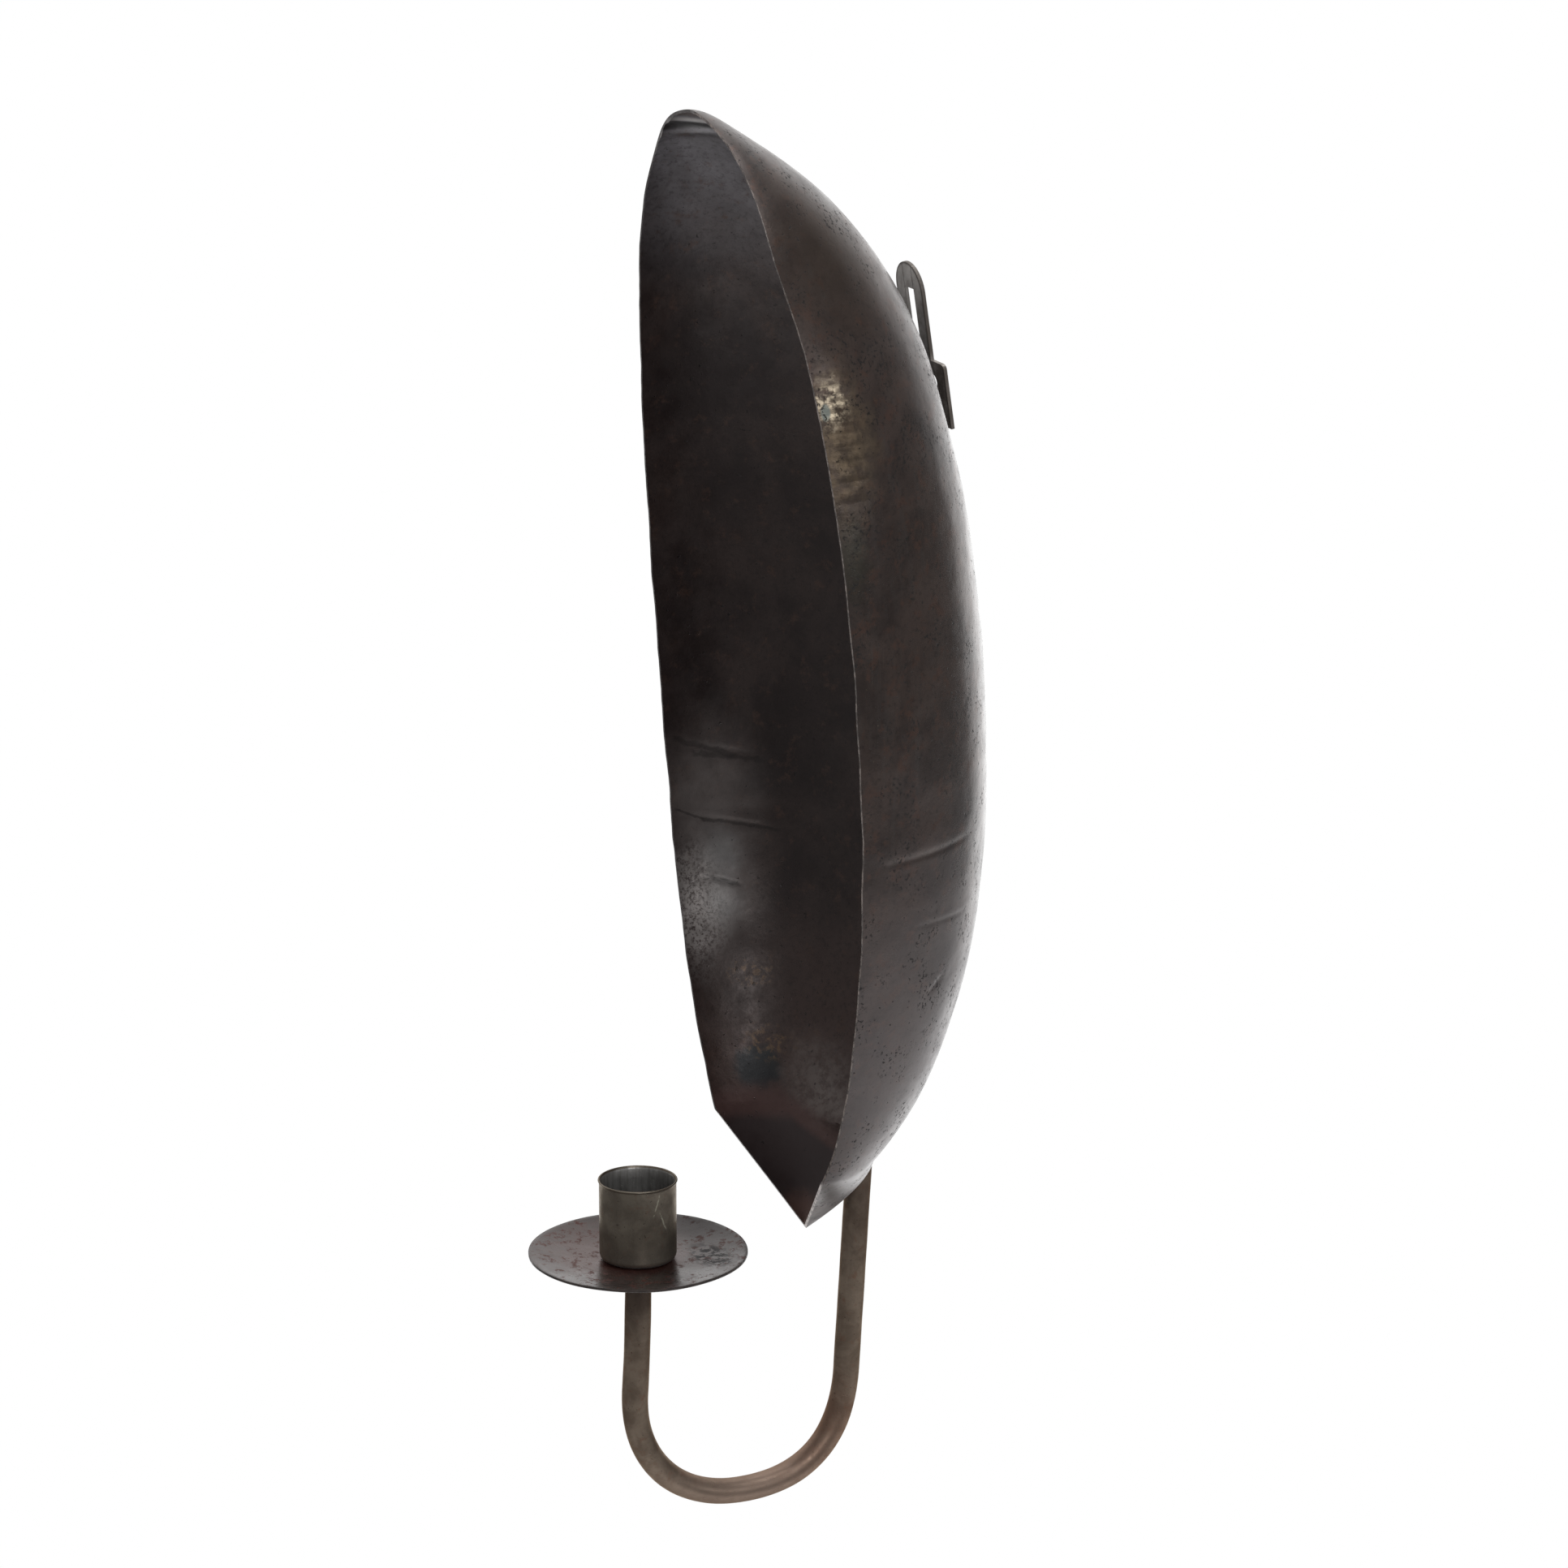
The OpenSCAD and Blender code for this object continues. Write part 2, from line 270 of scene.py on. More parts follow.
# Creases across the sheet: first and last angle in degrees, level of each end above the
# bottom tip, width, and how far the groove is pushed in
CREASES = [
    (2.0, 42.0, 137.0, 138.4, 1.1, 0.20),
    (14.0, 44.0, 115.5, 113.5, 0.9, 0.10),
    (25.0, 32.0, 91.0, 96.0, 1.2, 0.26),
    (186.0, 152.0, 142.0, 133.2, 1.4, 0.24),
    (188.0, 148.0, 118.5, 110.5, 1.1, 0.20),
    (175.0, 160.0, 97.6, 92.6, 0.7, 0.28),
    (168.0, 120.0, 291.0, 300.0, 2.4, 0.14),
]
# Broad dents and swellings: angle, level, half sizes along the sheet and upwards, and
# the move outwards (inwards where it is negative)
DENTS = [
    (165.0, 124.0, 18.0, 8.0, -0.45),
    (159.0, 117.0, 8.0, 2.8, -0.22),
    (166.0, 84.0, 14.0, 11.0, -0.50),
    (22.0, 142.0, 24.0, 5.0, 0.30),
    (24.0, 106.0, 18.0, 12.0, -0.30),
    (14.0, 306.0, 10.0, 12.0, -0.50),
]
# Short dents beaten in beside the right rim: angle, level, width upwards, depth
RIM_KNOCKS = [
    (4.0, 284.5, 0.9, 0.10),
    (5.0, 281.5, 0.8, 0.14),
    (6.0, 277.6, 1.1, 0.24),
    (7.0, 274.4, 0.9, 0.20),
    (7.5, 270.4, 1.0, 0.24),
    (6.0, 266.6, 1.1, 0.24),
    (7.0, 263.0, 0.9, 0.20),
    (8.0, 258.6, 1.2, 0.22),
    (6.5, 253.0, 1.0, 0.22),
    (7.0, 247.0, 1.3, 0.20),
]
KNOCK_REACH = 7.0
FULLER_BACK = 0.65
BEATEN_SIZE = 34.0
BEATEN_DEPTH = 0.40
HAMMER_SIZE = 8.0
HAMMER_DEPTH = 0.06
RIM_WAVE_SIZE = 17.0
RIM_RIPPLE_SIZE = 4.0
RIM_RIPPLE_SHARE = 0.22
RIM_WAVE = 0.45
END_CALM = 45.0
SEAT_MID = Vector((0.0, 4.0, -36.0))
SEAT_REACH = 15.0
ENTRY_REACH = 12.0
QUIET_RAMP = 22.0
# Near the top the far rim stands a little further back and the near rim further forward
LIP_BACK = 1.35
LIP_BACK_AT = 334.0
LIP_BACK_SPREAD = 13.0
NEAR_RIM_FORWARD = 1.7
NEAR_RIM_AT = 314.0
NEAR_RIM_SPREAD = 16.0
LIP_RIM_Y = -70.5
GROOVE_RISE = 0.12
FOLD_FROM = 92.0
FOLD_FULL = 122.0
LIP_PEAK = 0.8
LIP_PEAK_HALF = 8.0
LIP_PEAK_FALL = 9.0
# The cutter of the arm's hole starts and ends this far below and above the entry
HOLE_BELOW = 16.0
HOLE_ABOVE = 21.0


def smooth_step(low, high, value):
    t = np.clip((value - low) / (high - low), 0.0, 1.0)
    return t * t * (3 - 2 * t)


def bell(offset, spread):
    return np.exp(-((offset / spread) ** 2))


def crease_push(levels, degrees):
    """How far the creases and dents move the sheet outwards, for each level and angle."""
    z = np.array(levels)[:, None]
    total = np.zeros((len(levels), len(degrees)))
    for first, last, low, high, width, push in CREASES:
        along = (degrees - first) / (last - first)
        over = z - (low + (high - low) * along)
        ends = smooth_step(0.0, 0.3, along) * smooth_step(0.0, 0.3, 1 - along)
        total += push * ends * (0.25 * bell(over - 2.0 * width, width * 1.6) - bell(over, width))
    for angle, level, across, up, push in DENTS:
        total += push * bell(degrees - angle, across) * bell(z - level, up)
    for angle, level, up, push in RIM_KNOCKS:
        total -= push * bell(degrees - angle, KNOCK_REACH * 0.6) * bell(z - level, up)
    return total


def lip_fold(levels, degrees, even):
    """The pinched top, seen from inside: a ridge, a groove below it and a soft swelling."""
    below = (SHELL_H - np.array(levels))[:, None]
    risen = below + GROOVE_RISE * (even[:, :, 1] - LIP_RIM_Y)
    left = smooth_step(FOLD_FROM, FOLD_FULL, degrees)
    ridge = -0.55 * bell(below - 4.6, 0.95)
    groove = 0.25 * bell(risen - 7.2, 1.5)
    swelling = -0.50 * bell(risen - 10.2, 1.3)
    return left * (groove + ridge + swelling)


def noise_at(point, size, shift=0.0):
    return noise.noise(Vector(point) / size + Vector((shift, shift, shift)))


def beaten_sheet(even):
    """Slow swellings and small hammer marks over the whole sheet."""
    rough = np.zeros(even.shape[:2])
    for i, k in np.ndindex(rough.shape):
        rough[i, k] = BEATEN_DEPTH * noise_at(even[i, k], BEATEN_SIZE)
        rough[i, k] += HAMMER_DEPTH * noise_at(even[i, k], HAMMER_SIZE, 40.0)
    return rough


def rim_wave(level, sign):
    """How far the right (1) or the left (-1) rim wavers at a level."""
    slow = noise.noise(Vector((sign * 9.0, 0.0, level / RIM_WAVE_SIZE)))
    quick = noise.noise(Vector((sign * 5.0, 3.0, level / RIM_RIPPLE_SIZE)))
    return RIM_WAVE * (slow + RIM_RIPPLE_SHARE * quick)


def calm_zone(even):
    """0 where the hanger and the arm meet the sheet, 1 well away from them."""
    seat = np.linalg.norm(even - np.array(SEAT_MID), axis=2) - SEAT_REACH
    entry = np.linalg.norm(even - np.array(ENTRY), axis=2) - ENTRY_REACH
    return smooth_step(0.0, QUIET_RAMP, np.minimum(seat, entry))


def shell_shift(levels, even):
    """Moves of the outer and the inner skin: dents, creases, a wavy rim and the lip."""
    normal = np.cross(np.gradient(even, axis=1), np.gradient(even, axis=0))
    normal /= np.maximum(np.linalg.norm(normal, axis=2, keepdims=True), 1e-9)
    z = np.array(levels)
    from_top = SHELL_H - z
    ends = (smooth_step(0.0, END_CALM, z) * smooth_step(2.0, END_CALM, from_top))[:, None]
    fuller = FULLER_BACK * np.sin(ANGLES) ** 0.7
    degrees = np.degrees(ANGLES)
    push = beaten_sheet(even) * ends + fuller * ends + crease_push(levels, degrees)
    shift = normal * (push * calm_zone(even))[:, :, None]
    on_right = ANGLES < math.pi / 2
    off_back = 1 - np.sin(ANGLES)
    wave = np.array([[rim_wave(level, sign) for sign in (1.0, -1.0)] for level in levels])
    rim = np.where(on_right, wave[:, :1], wave[:, 1:]) * off_back ** 6 * ends
    far = LIP_BACK * bell(z - LIP_BACK_AT, LIP_BACK_SPREAD)[:, None]
    near = -NEAR_RIM_FORWARD * bell(z - NEAR_RIM_AT, NEAR_RIM_SPREAD)[:, None]
    shift[:, :, 1] += rim + np.where(on_right, near, far) * off_back ** 1.5
    peak = LIP_PEAK * bell(even[:, :, 0], LIP_PEAK_HALF)
    shift[:, :, 2] += peak * smooth_step(LIP_PEAK_FALL, 0.0, from_top)[:, None]
    return shift, shift + normal * lip_fold(levels, degrees, even)[:, :, None]


def build_shell():
    levels = shell_levels()
    row = AROUND + 1
    foot = SHEET * POINT_SKEW / POINT_SLOPE
    inner_levels = [foot + z * (SHELL_H - SHEET - foot) / SHELL_H for z in levels]
    even = skin(levels, 0.0)
    outer_shift, inner_shift = shell_shift(levels, even)
    outer = list((even + outer_shift).reshape(-1, 3))
    inner = list((skin(inner_levels, SHEET) + inner_shift).reshape(-1, 3))
    ends = [
        Vector((0.0, rim_y(0.0), SHELL_Z)),
        Vector((0.0, rim_y(SHELL_H), SHELL_Z + SHELL_H + LIP_PEAK)),
        Vector((0.0, rim_y(foot), SHELL_Z + foot)),
        Vector((0.0, rim_y(SHELL_H - SHEET), SHELL_Z + SHELL_H - SHEET + LIP_PEAK)),
    ]
    half = len(outer)
    last = (len(levels) - 1) * row
    tip, lip, tip_in, lip_in = range(2 * half, 2 * half + 4)
    faces = []
    slots = []

    def add(slot, *indices):
        faces.append(indices)
        slots.append(slot)

    for i in range(len(levels) - 1):
        for k in range(AROUND):
            a = i * row + k
            b = a + row
            add(0, a, b, b + 1, a + 1)
            add(1, half + a, half + a + 1, half + b + 1, half + b)
        a = i * row
        b = a + row
        add(2, a, half + a, half + b, b)
        add(2, a + AROUND, b + AROUND, half + b + AROUND, half + a + AROUND)
    for k in range(AROUND):
        add(0, tip, k, k + 1)
        add(0, lip, last + k + 1, last + k)
        add(1, tip_in, half + k + 1, half + k)
        add(1, lip_in, half + last + k, half + last + k + 1)
    add(2, tip, tip_in, half, 0)
    add(2, tip, AROUND, half + AROUND, tip_in)
    add(2, lip, last, half + last, lip_in)
    add(2, lip, lip_in, half + last + AROUND, last + AROUND)
    shell = make_object("shell_sheet", outer + inner + ends, faces)
    shell.data.polygons.foreach_set("material_index", slots)
    low_end = ENTRY - HOLE_BELOW * UP
    high_end = ENTRY + HOLE_ABOVE * UP
    cutter = tube_solid("hole_cutter", TUBE_R + ENTRY_GAP, low_end, high_end)
    dress(shell, SHELL_OUTSIDE, SHELL_INSIDE, SHELL_EDGE)
    dress(cutter, SHELL_EDGE)
    cut(shell, cutter)
    sharpen(shell, 50)
    return shell


def tube_solid(name, radius, start, end):
    """A capped cylinder, used as a cutter."""
    segments = 64
    axis = (end - start).normalized()
    side = Vector((1.0, 0.0, 0.0))
    other = axis.cross(side)
    points = []
    for centre in (start, end):
        for s in range(segments):
            a = 2 * math.pi * s / segments
            points.append(centre + radius * (math.cos(a) * side + math.sin(a) * other))
    faces = []
    for s in range(segments):
        n = (s + 1) % segments
        faces.append((s, n, segments + n, segments + s))
    faces.append(tuple(range(segments - 1, -1, -1)))
    faces.append(tuple(range(segments, 2 * segments)))
    return make_object(name, points, faces)


# The arm: one tube swept along its bends, a little uneven as a hand-bent tube is
TUBE_SIDES = 56
BEND_OVAL = 0.03
BACK_BULGE = 1.9
FRONT_BULGE = 0.7
TUBE_SWELL = 0.1
SWELL_SIZE = 11.0


def arm_path():
    """Points, travel directions and squash of the tube, from its inner end to the pan."""
    path = []
    straight = 30
    for k in range(straight + 1):
        at = ENTRY + (TAIL - (TAIL + BACK_LEG) * k / straight) * UP
        path.append((at, -UP, 0.0))
    bend = 96
    for k in range(1, bend + 1):
        a = math.pi * k / bend
        bulge = BACK_BULGE if a < math.pi / 2 else FRONT_BULGE
        radius = BEND_R + bulge * math.sin(2 * a) ** 2
        slope = 2 * bulge * math.sin(4 * a)
        out = math.cos(a) * OUT - math.sin(a) * UP
        travel = radius * (-math.sin(a) * OUT - math.cos(a) * UP) + slope * out
        oval = BEND_OVAL * math.sin(a) ** 0.5
        path.append((BEND_CENTRE + radius * out, travel.normalized(), oval))
    front = 18
    for k in range(1, front + 1):
        a = LEG_LEAN * (1 - k / front)
        at = FRONT_CENTRE + FRONT_R * Vector((0.0, math.cos(a), -math.sin(a)))
        path.append((at, Vector((0.0, math.sin(a), math.cos(a))), 0.0))
    return path


def build_arm():
    side = Vector((1.0, 0.0, 0.0))
    points = []
    path = arm_path()
    for radius in (TUBE_R, TUBE_R - TUBE_WALL):
        for at, travel, oval in path:
            other = travel.cross(side).normalized()
            for s in range(TUBE_SIDES):
                a = 2 * math.pi * s / TUBE_SIDES
                spread = side * math.cos(a) * (1 + oval * 0.5)
                spread += other * math.sin(a) * (1 - oval * 0.5)
                lump = TUBE_SWELL * (0.6 + noise.noise((at + radius * spread) / SWELL_SIZE))
                points.append(at + (radius + lump) * spread)
    count = len(path)
    half = count * TUBE_SIDES
    faces = []
    for i in range(count - 1):
        for s in range(TUBE_SIDES):
            a = i * TUBE_SIDES + s
            b = i * TUBE_SIDES + (s + 1) % TUBE_SIDES
            faces.append((a, b, b + TUBE_SIDES, a + TUBE_SIDES))
            faces.append((half + a, half + a + TUBE_SIDES, half + b + TUBE_SIDES, half + b))
    for i in (0, count - 1):
        for s in range(TUBE_SIDES):
            a = i * TUBE_SIDES + s
            b = i * TUBE_SIDES + (s + 1) % TUBE_SIDES
            face = (a, half + a, half + b, b)
            faces.append(face if i == 0 else face[::-1])
    arm = make_object("arm_bent_tube", points, faces)
    sharpen(arm, 50)
    dress(arm, ARM_METAL)
    return arm


# Pan, cup and screw: solids of revolution, a little uneven where they are beaten
PAN_WARP = 0.22
PAN_SEGMENTS = 240
CUP_SEGMENTS = 160
SCREW_SEGMENTS = 64


def pan_height(r):
    return PAN_RISE * (max(0.0, r - PAN_FLAT_R) / (PAN_R - PAN_FLAT_R)) ** 2


def build_pan():
    steps = 26
    edge = 0.25
    radii = [SCREW_HOLE_R + (PAN_R - edge - SCREW_HOLE_R) * k / steps for k in range(steps + 1)]
    low = [(r, pan_height(r)) for r in radii]
    high = [(r, pan_height(r) + PAN_T) for r in reversed(radii)]
    rim_z = pan_height(PAN_R)
    rim = [(PAN_R - 0.05, rim_z + 0.1), (PAN_R, rim_z + 0.3), (PAN_R, rim_z + PAN_T - 0.3)]
    rim.append((PAN_R - 0.05, rim_z + PAN_T - 0.1))

    def ripple(r, angle):
        share = smooth_step(PAN_FLAT_R + 4, PAN_R, r)
        around = Vector((math.cos(angle) * 1.6, math.sin(angle) * 1.6, 2.0))
        return share * PAN_WARP * noise.noise(around)

    profile = low + rim + high
    pan = revolve("drip_pan_dish", profile, PAN_BASE, PAN_SEGMENTS, ripple)
    edge_steps = range(len(low) - 1, len(low) + len(rim))
    on_edge = [k % len(profile) in edge_steps for k in range(len(pan.data.polygons))]
    pan.data.polygons.foreach_set("material_index", [int(e) for e in on_edge])
    sharpen(pan, 60)
    dress(pan, PAN_METAL, PAN_EDGE)
    return pan


def build_cup():
    outer_r = CUP_BORE_R + CUP_WALL
    lip_z = CUP_H - CUP_LIP_H
    centre_r = outer_r - CUP_EDGE_R
    profile = [(SCREW_HOLE_R, 0.0), (centre_r * 0.6, 0.0)]
    profile += arc(centre_r, CUP_EDGE_R, CUP_EDGE_R, -90, 0, 10)
    profile += [(outer_r, lip_z * k / 8) for k in range(2, 8)]
    profile += [(outer_r, lip_z), (outer_r + CUP_LIP_FLARE * 0.8, CUP_H - 0.35)]
    lip_r = CUP_WALL / 2
    profile += arc(outer_r + CUP_LIP_FLARE - lip_r, CUP_H - lip_r, lip_r, 0, 180, 6)
    profile += [(CUP_BORE_R + CUP_LIP_FLARE * 0.5, CUP_H - 0.6), (CUP_BORE_R, lip_z)]
    profile += [(CUP_BORE_R, lip_z * k / 8) for k in range(7, 1, -1)]
    profile += arc(centre_r, CUP_EDGE_R, CUP_EDGE_R - CUP_WALL, 0, -90, 8)
    profile += [(centre_r * 0.6, CUP_WALL), (SCREW_HOLE_R, CUP_WALL)]
    cup = revolve("candle_cup_sheet", profile, CUP_BASE, CUP_SEGMENTS)
    sharpen(cup, 60)
    dress(cup, CUP_METAL)
    return cup


def build_screw():
    top = SCREW_HEAD_H
    head = SCREW_HEAD_R
    axis = 0.001
    profile = [(axis, -SCREW_L), (SCREW_R - 0.3, -SCREW_L), (SCREW_R, -SCREW_L + 0.4)]
    turns = 9
    pitch = 0.7
    for k in range(turns):
        z = -SCREW_L + 0.6 + k * pitch
        profile += [(SCREW_R, z), (SCREW_R - 0.25, z + pitch * 0.5)]
    profile += [(SCREW_R, -0.6), (SCREW_R, 0.0), (head - 0.1, 0.0), (head, 0.1)]
    profile += [(head, top * 0.6), (head - 0.25, top * 0.82), (head * 0.6, top * 0.97)]
    profile += [(axis, top)]
    screw = revolve("cup_screw_slotted", profile, CUP_FLOOR, SCREW_SEGMENTS)
    half = DRIVER_SLOT_W / 2
    low = top * 0.4
    reach = head + 1
    corners = [(x, y, z) for x in (-reach, reach) for y in (-half, half) for z in (low, top + 1)]
    points = [Vector(c) + CUP_FLOOR for c in corners]
    faces = [(0, 1, 3, 2), (4, 6, 7, 5), (0, 4, 5, 1), (2, 3, 7, 6), (0, 2, 6, 4), (1, 5, 7, 3)]
    cut(screw, make_object("slot_cutter", points, faces, smooth=False))
    sharpen(screw, 35)
    dress(screw, BRASS)
    return screw


# The hanger plate, cut from sheet with slightly rounded edges
def outline_spline(curve, points):
    spline = curve.splines.new("POLY")
    spline.points.add(len(points) - 1)
    for p, (x, y) in zip(spline.points, points):
        p.co = (x * MM, y * MM, 0.0, 1.0)
    spline.use_cyclic_u = True


def build_hanger():
    edge = 0.15
    tongue_r = TONGUE_W / 2 - edge
    shoulder = SLOT_HEAD - TONGUE_H
    foot = shoulder - BASE_H + edge
    half = BASE_W / 2 - edge
    outline = arc(0.0, SLOT_HEAD - TONGUE_W / 2, tongue_r, 0, 180, 28)
    outline += [(-tongue_r, shoulder - edge)]
    outline += arc(-half + SHOULDER_R, shoulder - SHOULDER_R - edge, SHOULDER_R, 90, 180, 5)
    outline += [(-half, foot), (half, foot)]
    outline += arc(half - SHOULDER_R, shoulder - SHOULDER_R - edge, SHOULDER_R, 0, 90, 5)
    outline += [(tongue_r, shoulder - edge)]
    slot_half = SLOT_W / 2 + edge
    slot_foot = -SLOT_L - edge
    slot = [(-slot_half, edge), (slot_half, edge), (slot_half, slot_foot), (-slot_half, slot_foot)]
    curve = bpy.data.curves.new("hanger_outline", "CURVE")
    curve.dimensions = "2D"
    curve.fill_mode = "BOTH"
    curve.extrude = (HANGER_T / 2 - edge) * MM
    curve.bevel_depth = edge * MM
    curve.bevel_resolution = 2
    outline_spline(curve, outline)
    outline_spline(curve, slot)
    hole_r = SIDE_HOLE_D / 2 + edge
    last_angle = 360 - 360 / SIDE_HOLE_SIDES
    for x in (-SIDE_HOLE_GAP / 2, SIDE_HOLE_GAP / 2):
        hole_z = shoulder - SIDE_HOLE_DROP
        outline_spline(curve, arc(x, hole_z, hole_r, 0, last_angle, SIDE_HOLE_SIDES - 1))
    source = add_object("hanger_source", curve)
    mesh = evaluated_mesh(source)
    bpy.data.objects.remove(source)
    upright = Matrix.Rotation(HANGER_LEAN, 4, "X") @ Matrix.Rotation(math.pi / 2, 4, "X")
    mesh.transform(upright)
    hanger = add_object("hanger_plate_cut", mesh)
    shade_smooth(mesh)
    sharpen(hanger, 30)
    dress(hanger, HANGER_METAL)
    return hanger


def build_solder(name, node, voxel, lump, lump_size):
    """A lumpy, rounded copy of a solder solid."""
    obj = add_object(name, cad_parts[node].data.copy())
    remesh = obj.modifiers.new("remesh", "REMESH")
    remesh.mode = "VOXEL"
    remesh.voxel_size = voxel * MM
    rounding = obj.modifiers.new("rounding", "SMOOTH")
    rounding.factor = 0.6
    rounding.iterations = 3
    apply_modifiers(obj)
    for v in obj.data.vertices:
        shift = noise.noise(v.co / (lump_size * MM)) * lump * MM
        v.co += v.normal * shift
    shade_smooth(obj.data)
    obj.data.materials.clear()
    dress(obj, SOLDER)
    return obj


# Shader nodes
class Nodes:
    """Adds nodes to a tree. An input takes a value or another node's output."""

    def __init__(self, tree):
        self.tree = tree

    def fill(self, node, inputs):
        """Gives each input its value, or links it to another node's output."""
        for key, value in inputs.items():
            if isinstance(value, bpy.types.NodeSocket):
                self.tree.links.new(value, node.inputs[key])
            else:
                node.inputs[key].default_value = value

    def add(self, kind, inputs, **settings):
        """Adds a node with its settings and inputs, and returns its outputs."""
        node = self.tree.nodes.new("ShaderNode" + kind)
        for name, value in settings.items():
            setattr(node, name, value)
        self.fill(node, inputs)
        return node.outputs

    def math(self, operation, a, b=0.0):
        return self.add("Math", {0: a, 1: b}, operation=operation)[0]

    def times(self, a, b):
        return self.math("MULTIPLY", a, b)

    def plus(self, a, b):
        return self.math("ADD", a, b)

    def minus(self, a, b):
        return self.math("SUBTRACT", a, b)

    def larger(self, a, b):
        return self.math("MAXIMUM", a, b)

    def absolute(self, a):
        return self.math("ABSOLUTE", a)

    def vector(self, operation, a, b=(0.0, 0.0, 0.0)):
        outputs = self.add("VectorMath", {0: a, 1: b}, operation=operation)
        gives_number = operation in ("LENGTH", "DOT_PRODUCT")
        return outputs["Value" if gives_number else "Vector"]

    def band(self, value, low, high, to_low=0.0, to_high=1.0):
        """Smooth step from one value to another."""
        limits = {"From Min": low, "From Max": high, "To Min": to_low, "To Max": to_high}
        step = {"Value": value, **limits}
        return self.add("MapRange", step, interpolation_type="SMOOTHSTEP")["Result"]


class Paint(Nodes):
    """Builds a node material layer by layer. Lengths are in millimetres.

    color, rough and normal hold what the layers so far have made.
    """

    def __init__(self, name):
        self.color = self.rough = self.normal = None
        self.material = bpy.data.materials.new(name)
        self.material.use_nodes = True
        super().__init__(self.material.node_tree)
        self.place = self.add("TexCoord", {})["Object"]

    def axes(self):
        """X, Y and Z of the place, in metres."""
        return self.add("SeparateXYZ", {0: self.place})

    def stretched(self, x, y, z):
        """Coordinates squeezed along each axis, for grain that runs one way."""
        return self.vector("MULTIPLY", self.place, (x, y, z))

    def grain(self, size, detail=4.0, rough=0.55, where=None, twist=0.0, shift=0.0):
        """Cloudy noise from 0 to 1 with features of that size."""
        place = where or self.place
        if shift:
            place = self.vector("ADD", place, (shift, shift * 0.7, shift * 1.3))
        inputs = {"Vector": place, "Scale": 1 / (size * MM), "Detail": detail}
        return self.add("TexNoise", {**inputs, "Roughness": rough, "Distortion": twist})["Fac"]

    def specks(self, size, detail, rough, shift, *limits):
        """Grain cut to separate flecks: limits are those of band."""
        return self.band(self.grain(size, detail, rough, shift=shift), *limits)

    def mix(self, share, a, b):
        """Colour from a to b. Either is an RGB triple or another node's output."""
        a, b = ((*c, 1.0) if isinstance(c, tuple) else c for c in (a, b))
        return self.add("Mix", {0: share, 6: a, 7: b}, data_type="RGBA")[2]

    def lay(self, mask, over):
        """Lays a colour over what is there where the mask is."""
        self.color = self.mix(mask, self.color, over)

    def cover(self, mask, share, over):
        """Lays a colour at a share of the mask's strength."""
        self.lay(self.times(mask, share), over)

    def roughen(self, mask, amount):
        self.rough = self.plus(self.rough, self.times(mask, amount))

    def patch(self, centre, size, ragged, grain_size, edge):
        """Ragged spot: 1 in the middle of an ellipsoid, 0 outside it.

        Takes its centre, half sizes, raggedness, grain of the ragged edge and softness.
        """
        offset = self.vector("SUBTRACT", self.place, tuple(c * MM for c in centre))
        scaled = self.vector("DIVIDE", offset, tuple(s * MM for s in size))
        reach = self.vector("LENGTH", scaled)
        rag = self.times(self.grain(grain_size, 5.0, 0.65), 2 * ragged)
        total = self.plus(reach, rag)
        return self.band(total, 1.0 + ragged - edge, 1.0 + ragged + edge * 0.4, 1.0, 0.0)

    def cover_spots(self, table):
        """Covers spots: each row has patch's values, a share and a colour."""
        for *spot, share, over in table:
            self.cover(self.patch(*spot), share, over)

    def scratches(self, slope, length, width, amount, shift=0.0):
        """Fine lines that run along one direction of the YZ plane."""
        turn = {"Rotation": (math.radians(slope), 0.0, 0.0), "Location": (shift, shift, shift)}
        squeeze = (1 / length, 1 / width, 1 / length)
        along = self.add("Mapping", {"Vector": self.place, "Scale": squeeze, **turn})["Vector"]
        lines = self.grain(1.0, 2.0, 0.5, along)
        return self.band(lines, 1 - amount, 1 - amount * 0.55)

    def stroke(self, along, across, start, end, width):
        """Thin wavering line from start to end, each a pair of places on the two axes."""
        slope = (end[1] - start[1]) / (end[0] - start[0])
        level = (start[1] - slope * start[0]) * MM
        off = self.plus(self.times(along, -slope), across)
        waver = self.minus(self.grain(3.0, 3.0, 0.6, shift=57.0), 0.5)
        waver = self.times(waver, 2.5 * width * MM)
        off = self.absolute(self.plus(self.minus(off, level), waver))
        line = self.band(off, width * MM, 0.3 * width * MM)
        low, high = sorted((start[0], end[0]))
        line = self.times(line, self.band(along, (low - 1) * MM, (low + 1) * MM))
        return self.times(line, self.band(along, (high + 1) * MM, (high - 1) * MM))

    def height(self, value, depth_mm, under=None):
        """Bump of that depth, on top of another bump where one is given."""
        below = {"Normal": under} if under else {}
        bump = {"Strength": 1.0, "Distance": depth_mm * MM, "Height": value}
        return self.add("Bump", {**bump, **below})["Normal"]

    def finish(self, metallic, others=()):
        """Connects the layers and any other inputs to the shader."""
        layers = {"Base Color": self.color, "Roughness": self.rough, "Normal": self.normal}
        shader = self.tree.nodes["Principled BSDF"]
        self.fill(shader, {**layers, "Metallic": metallic, **dict(others)})
        return self.material


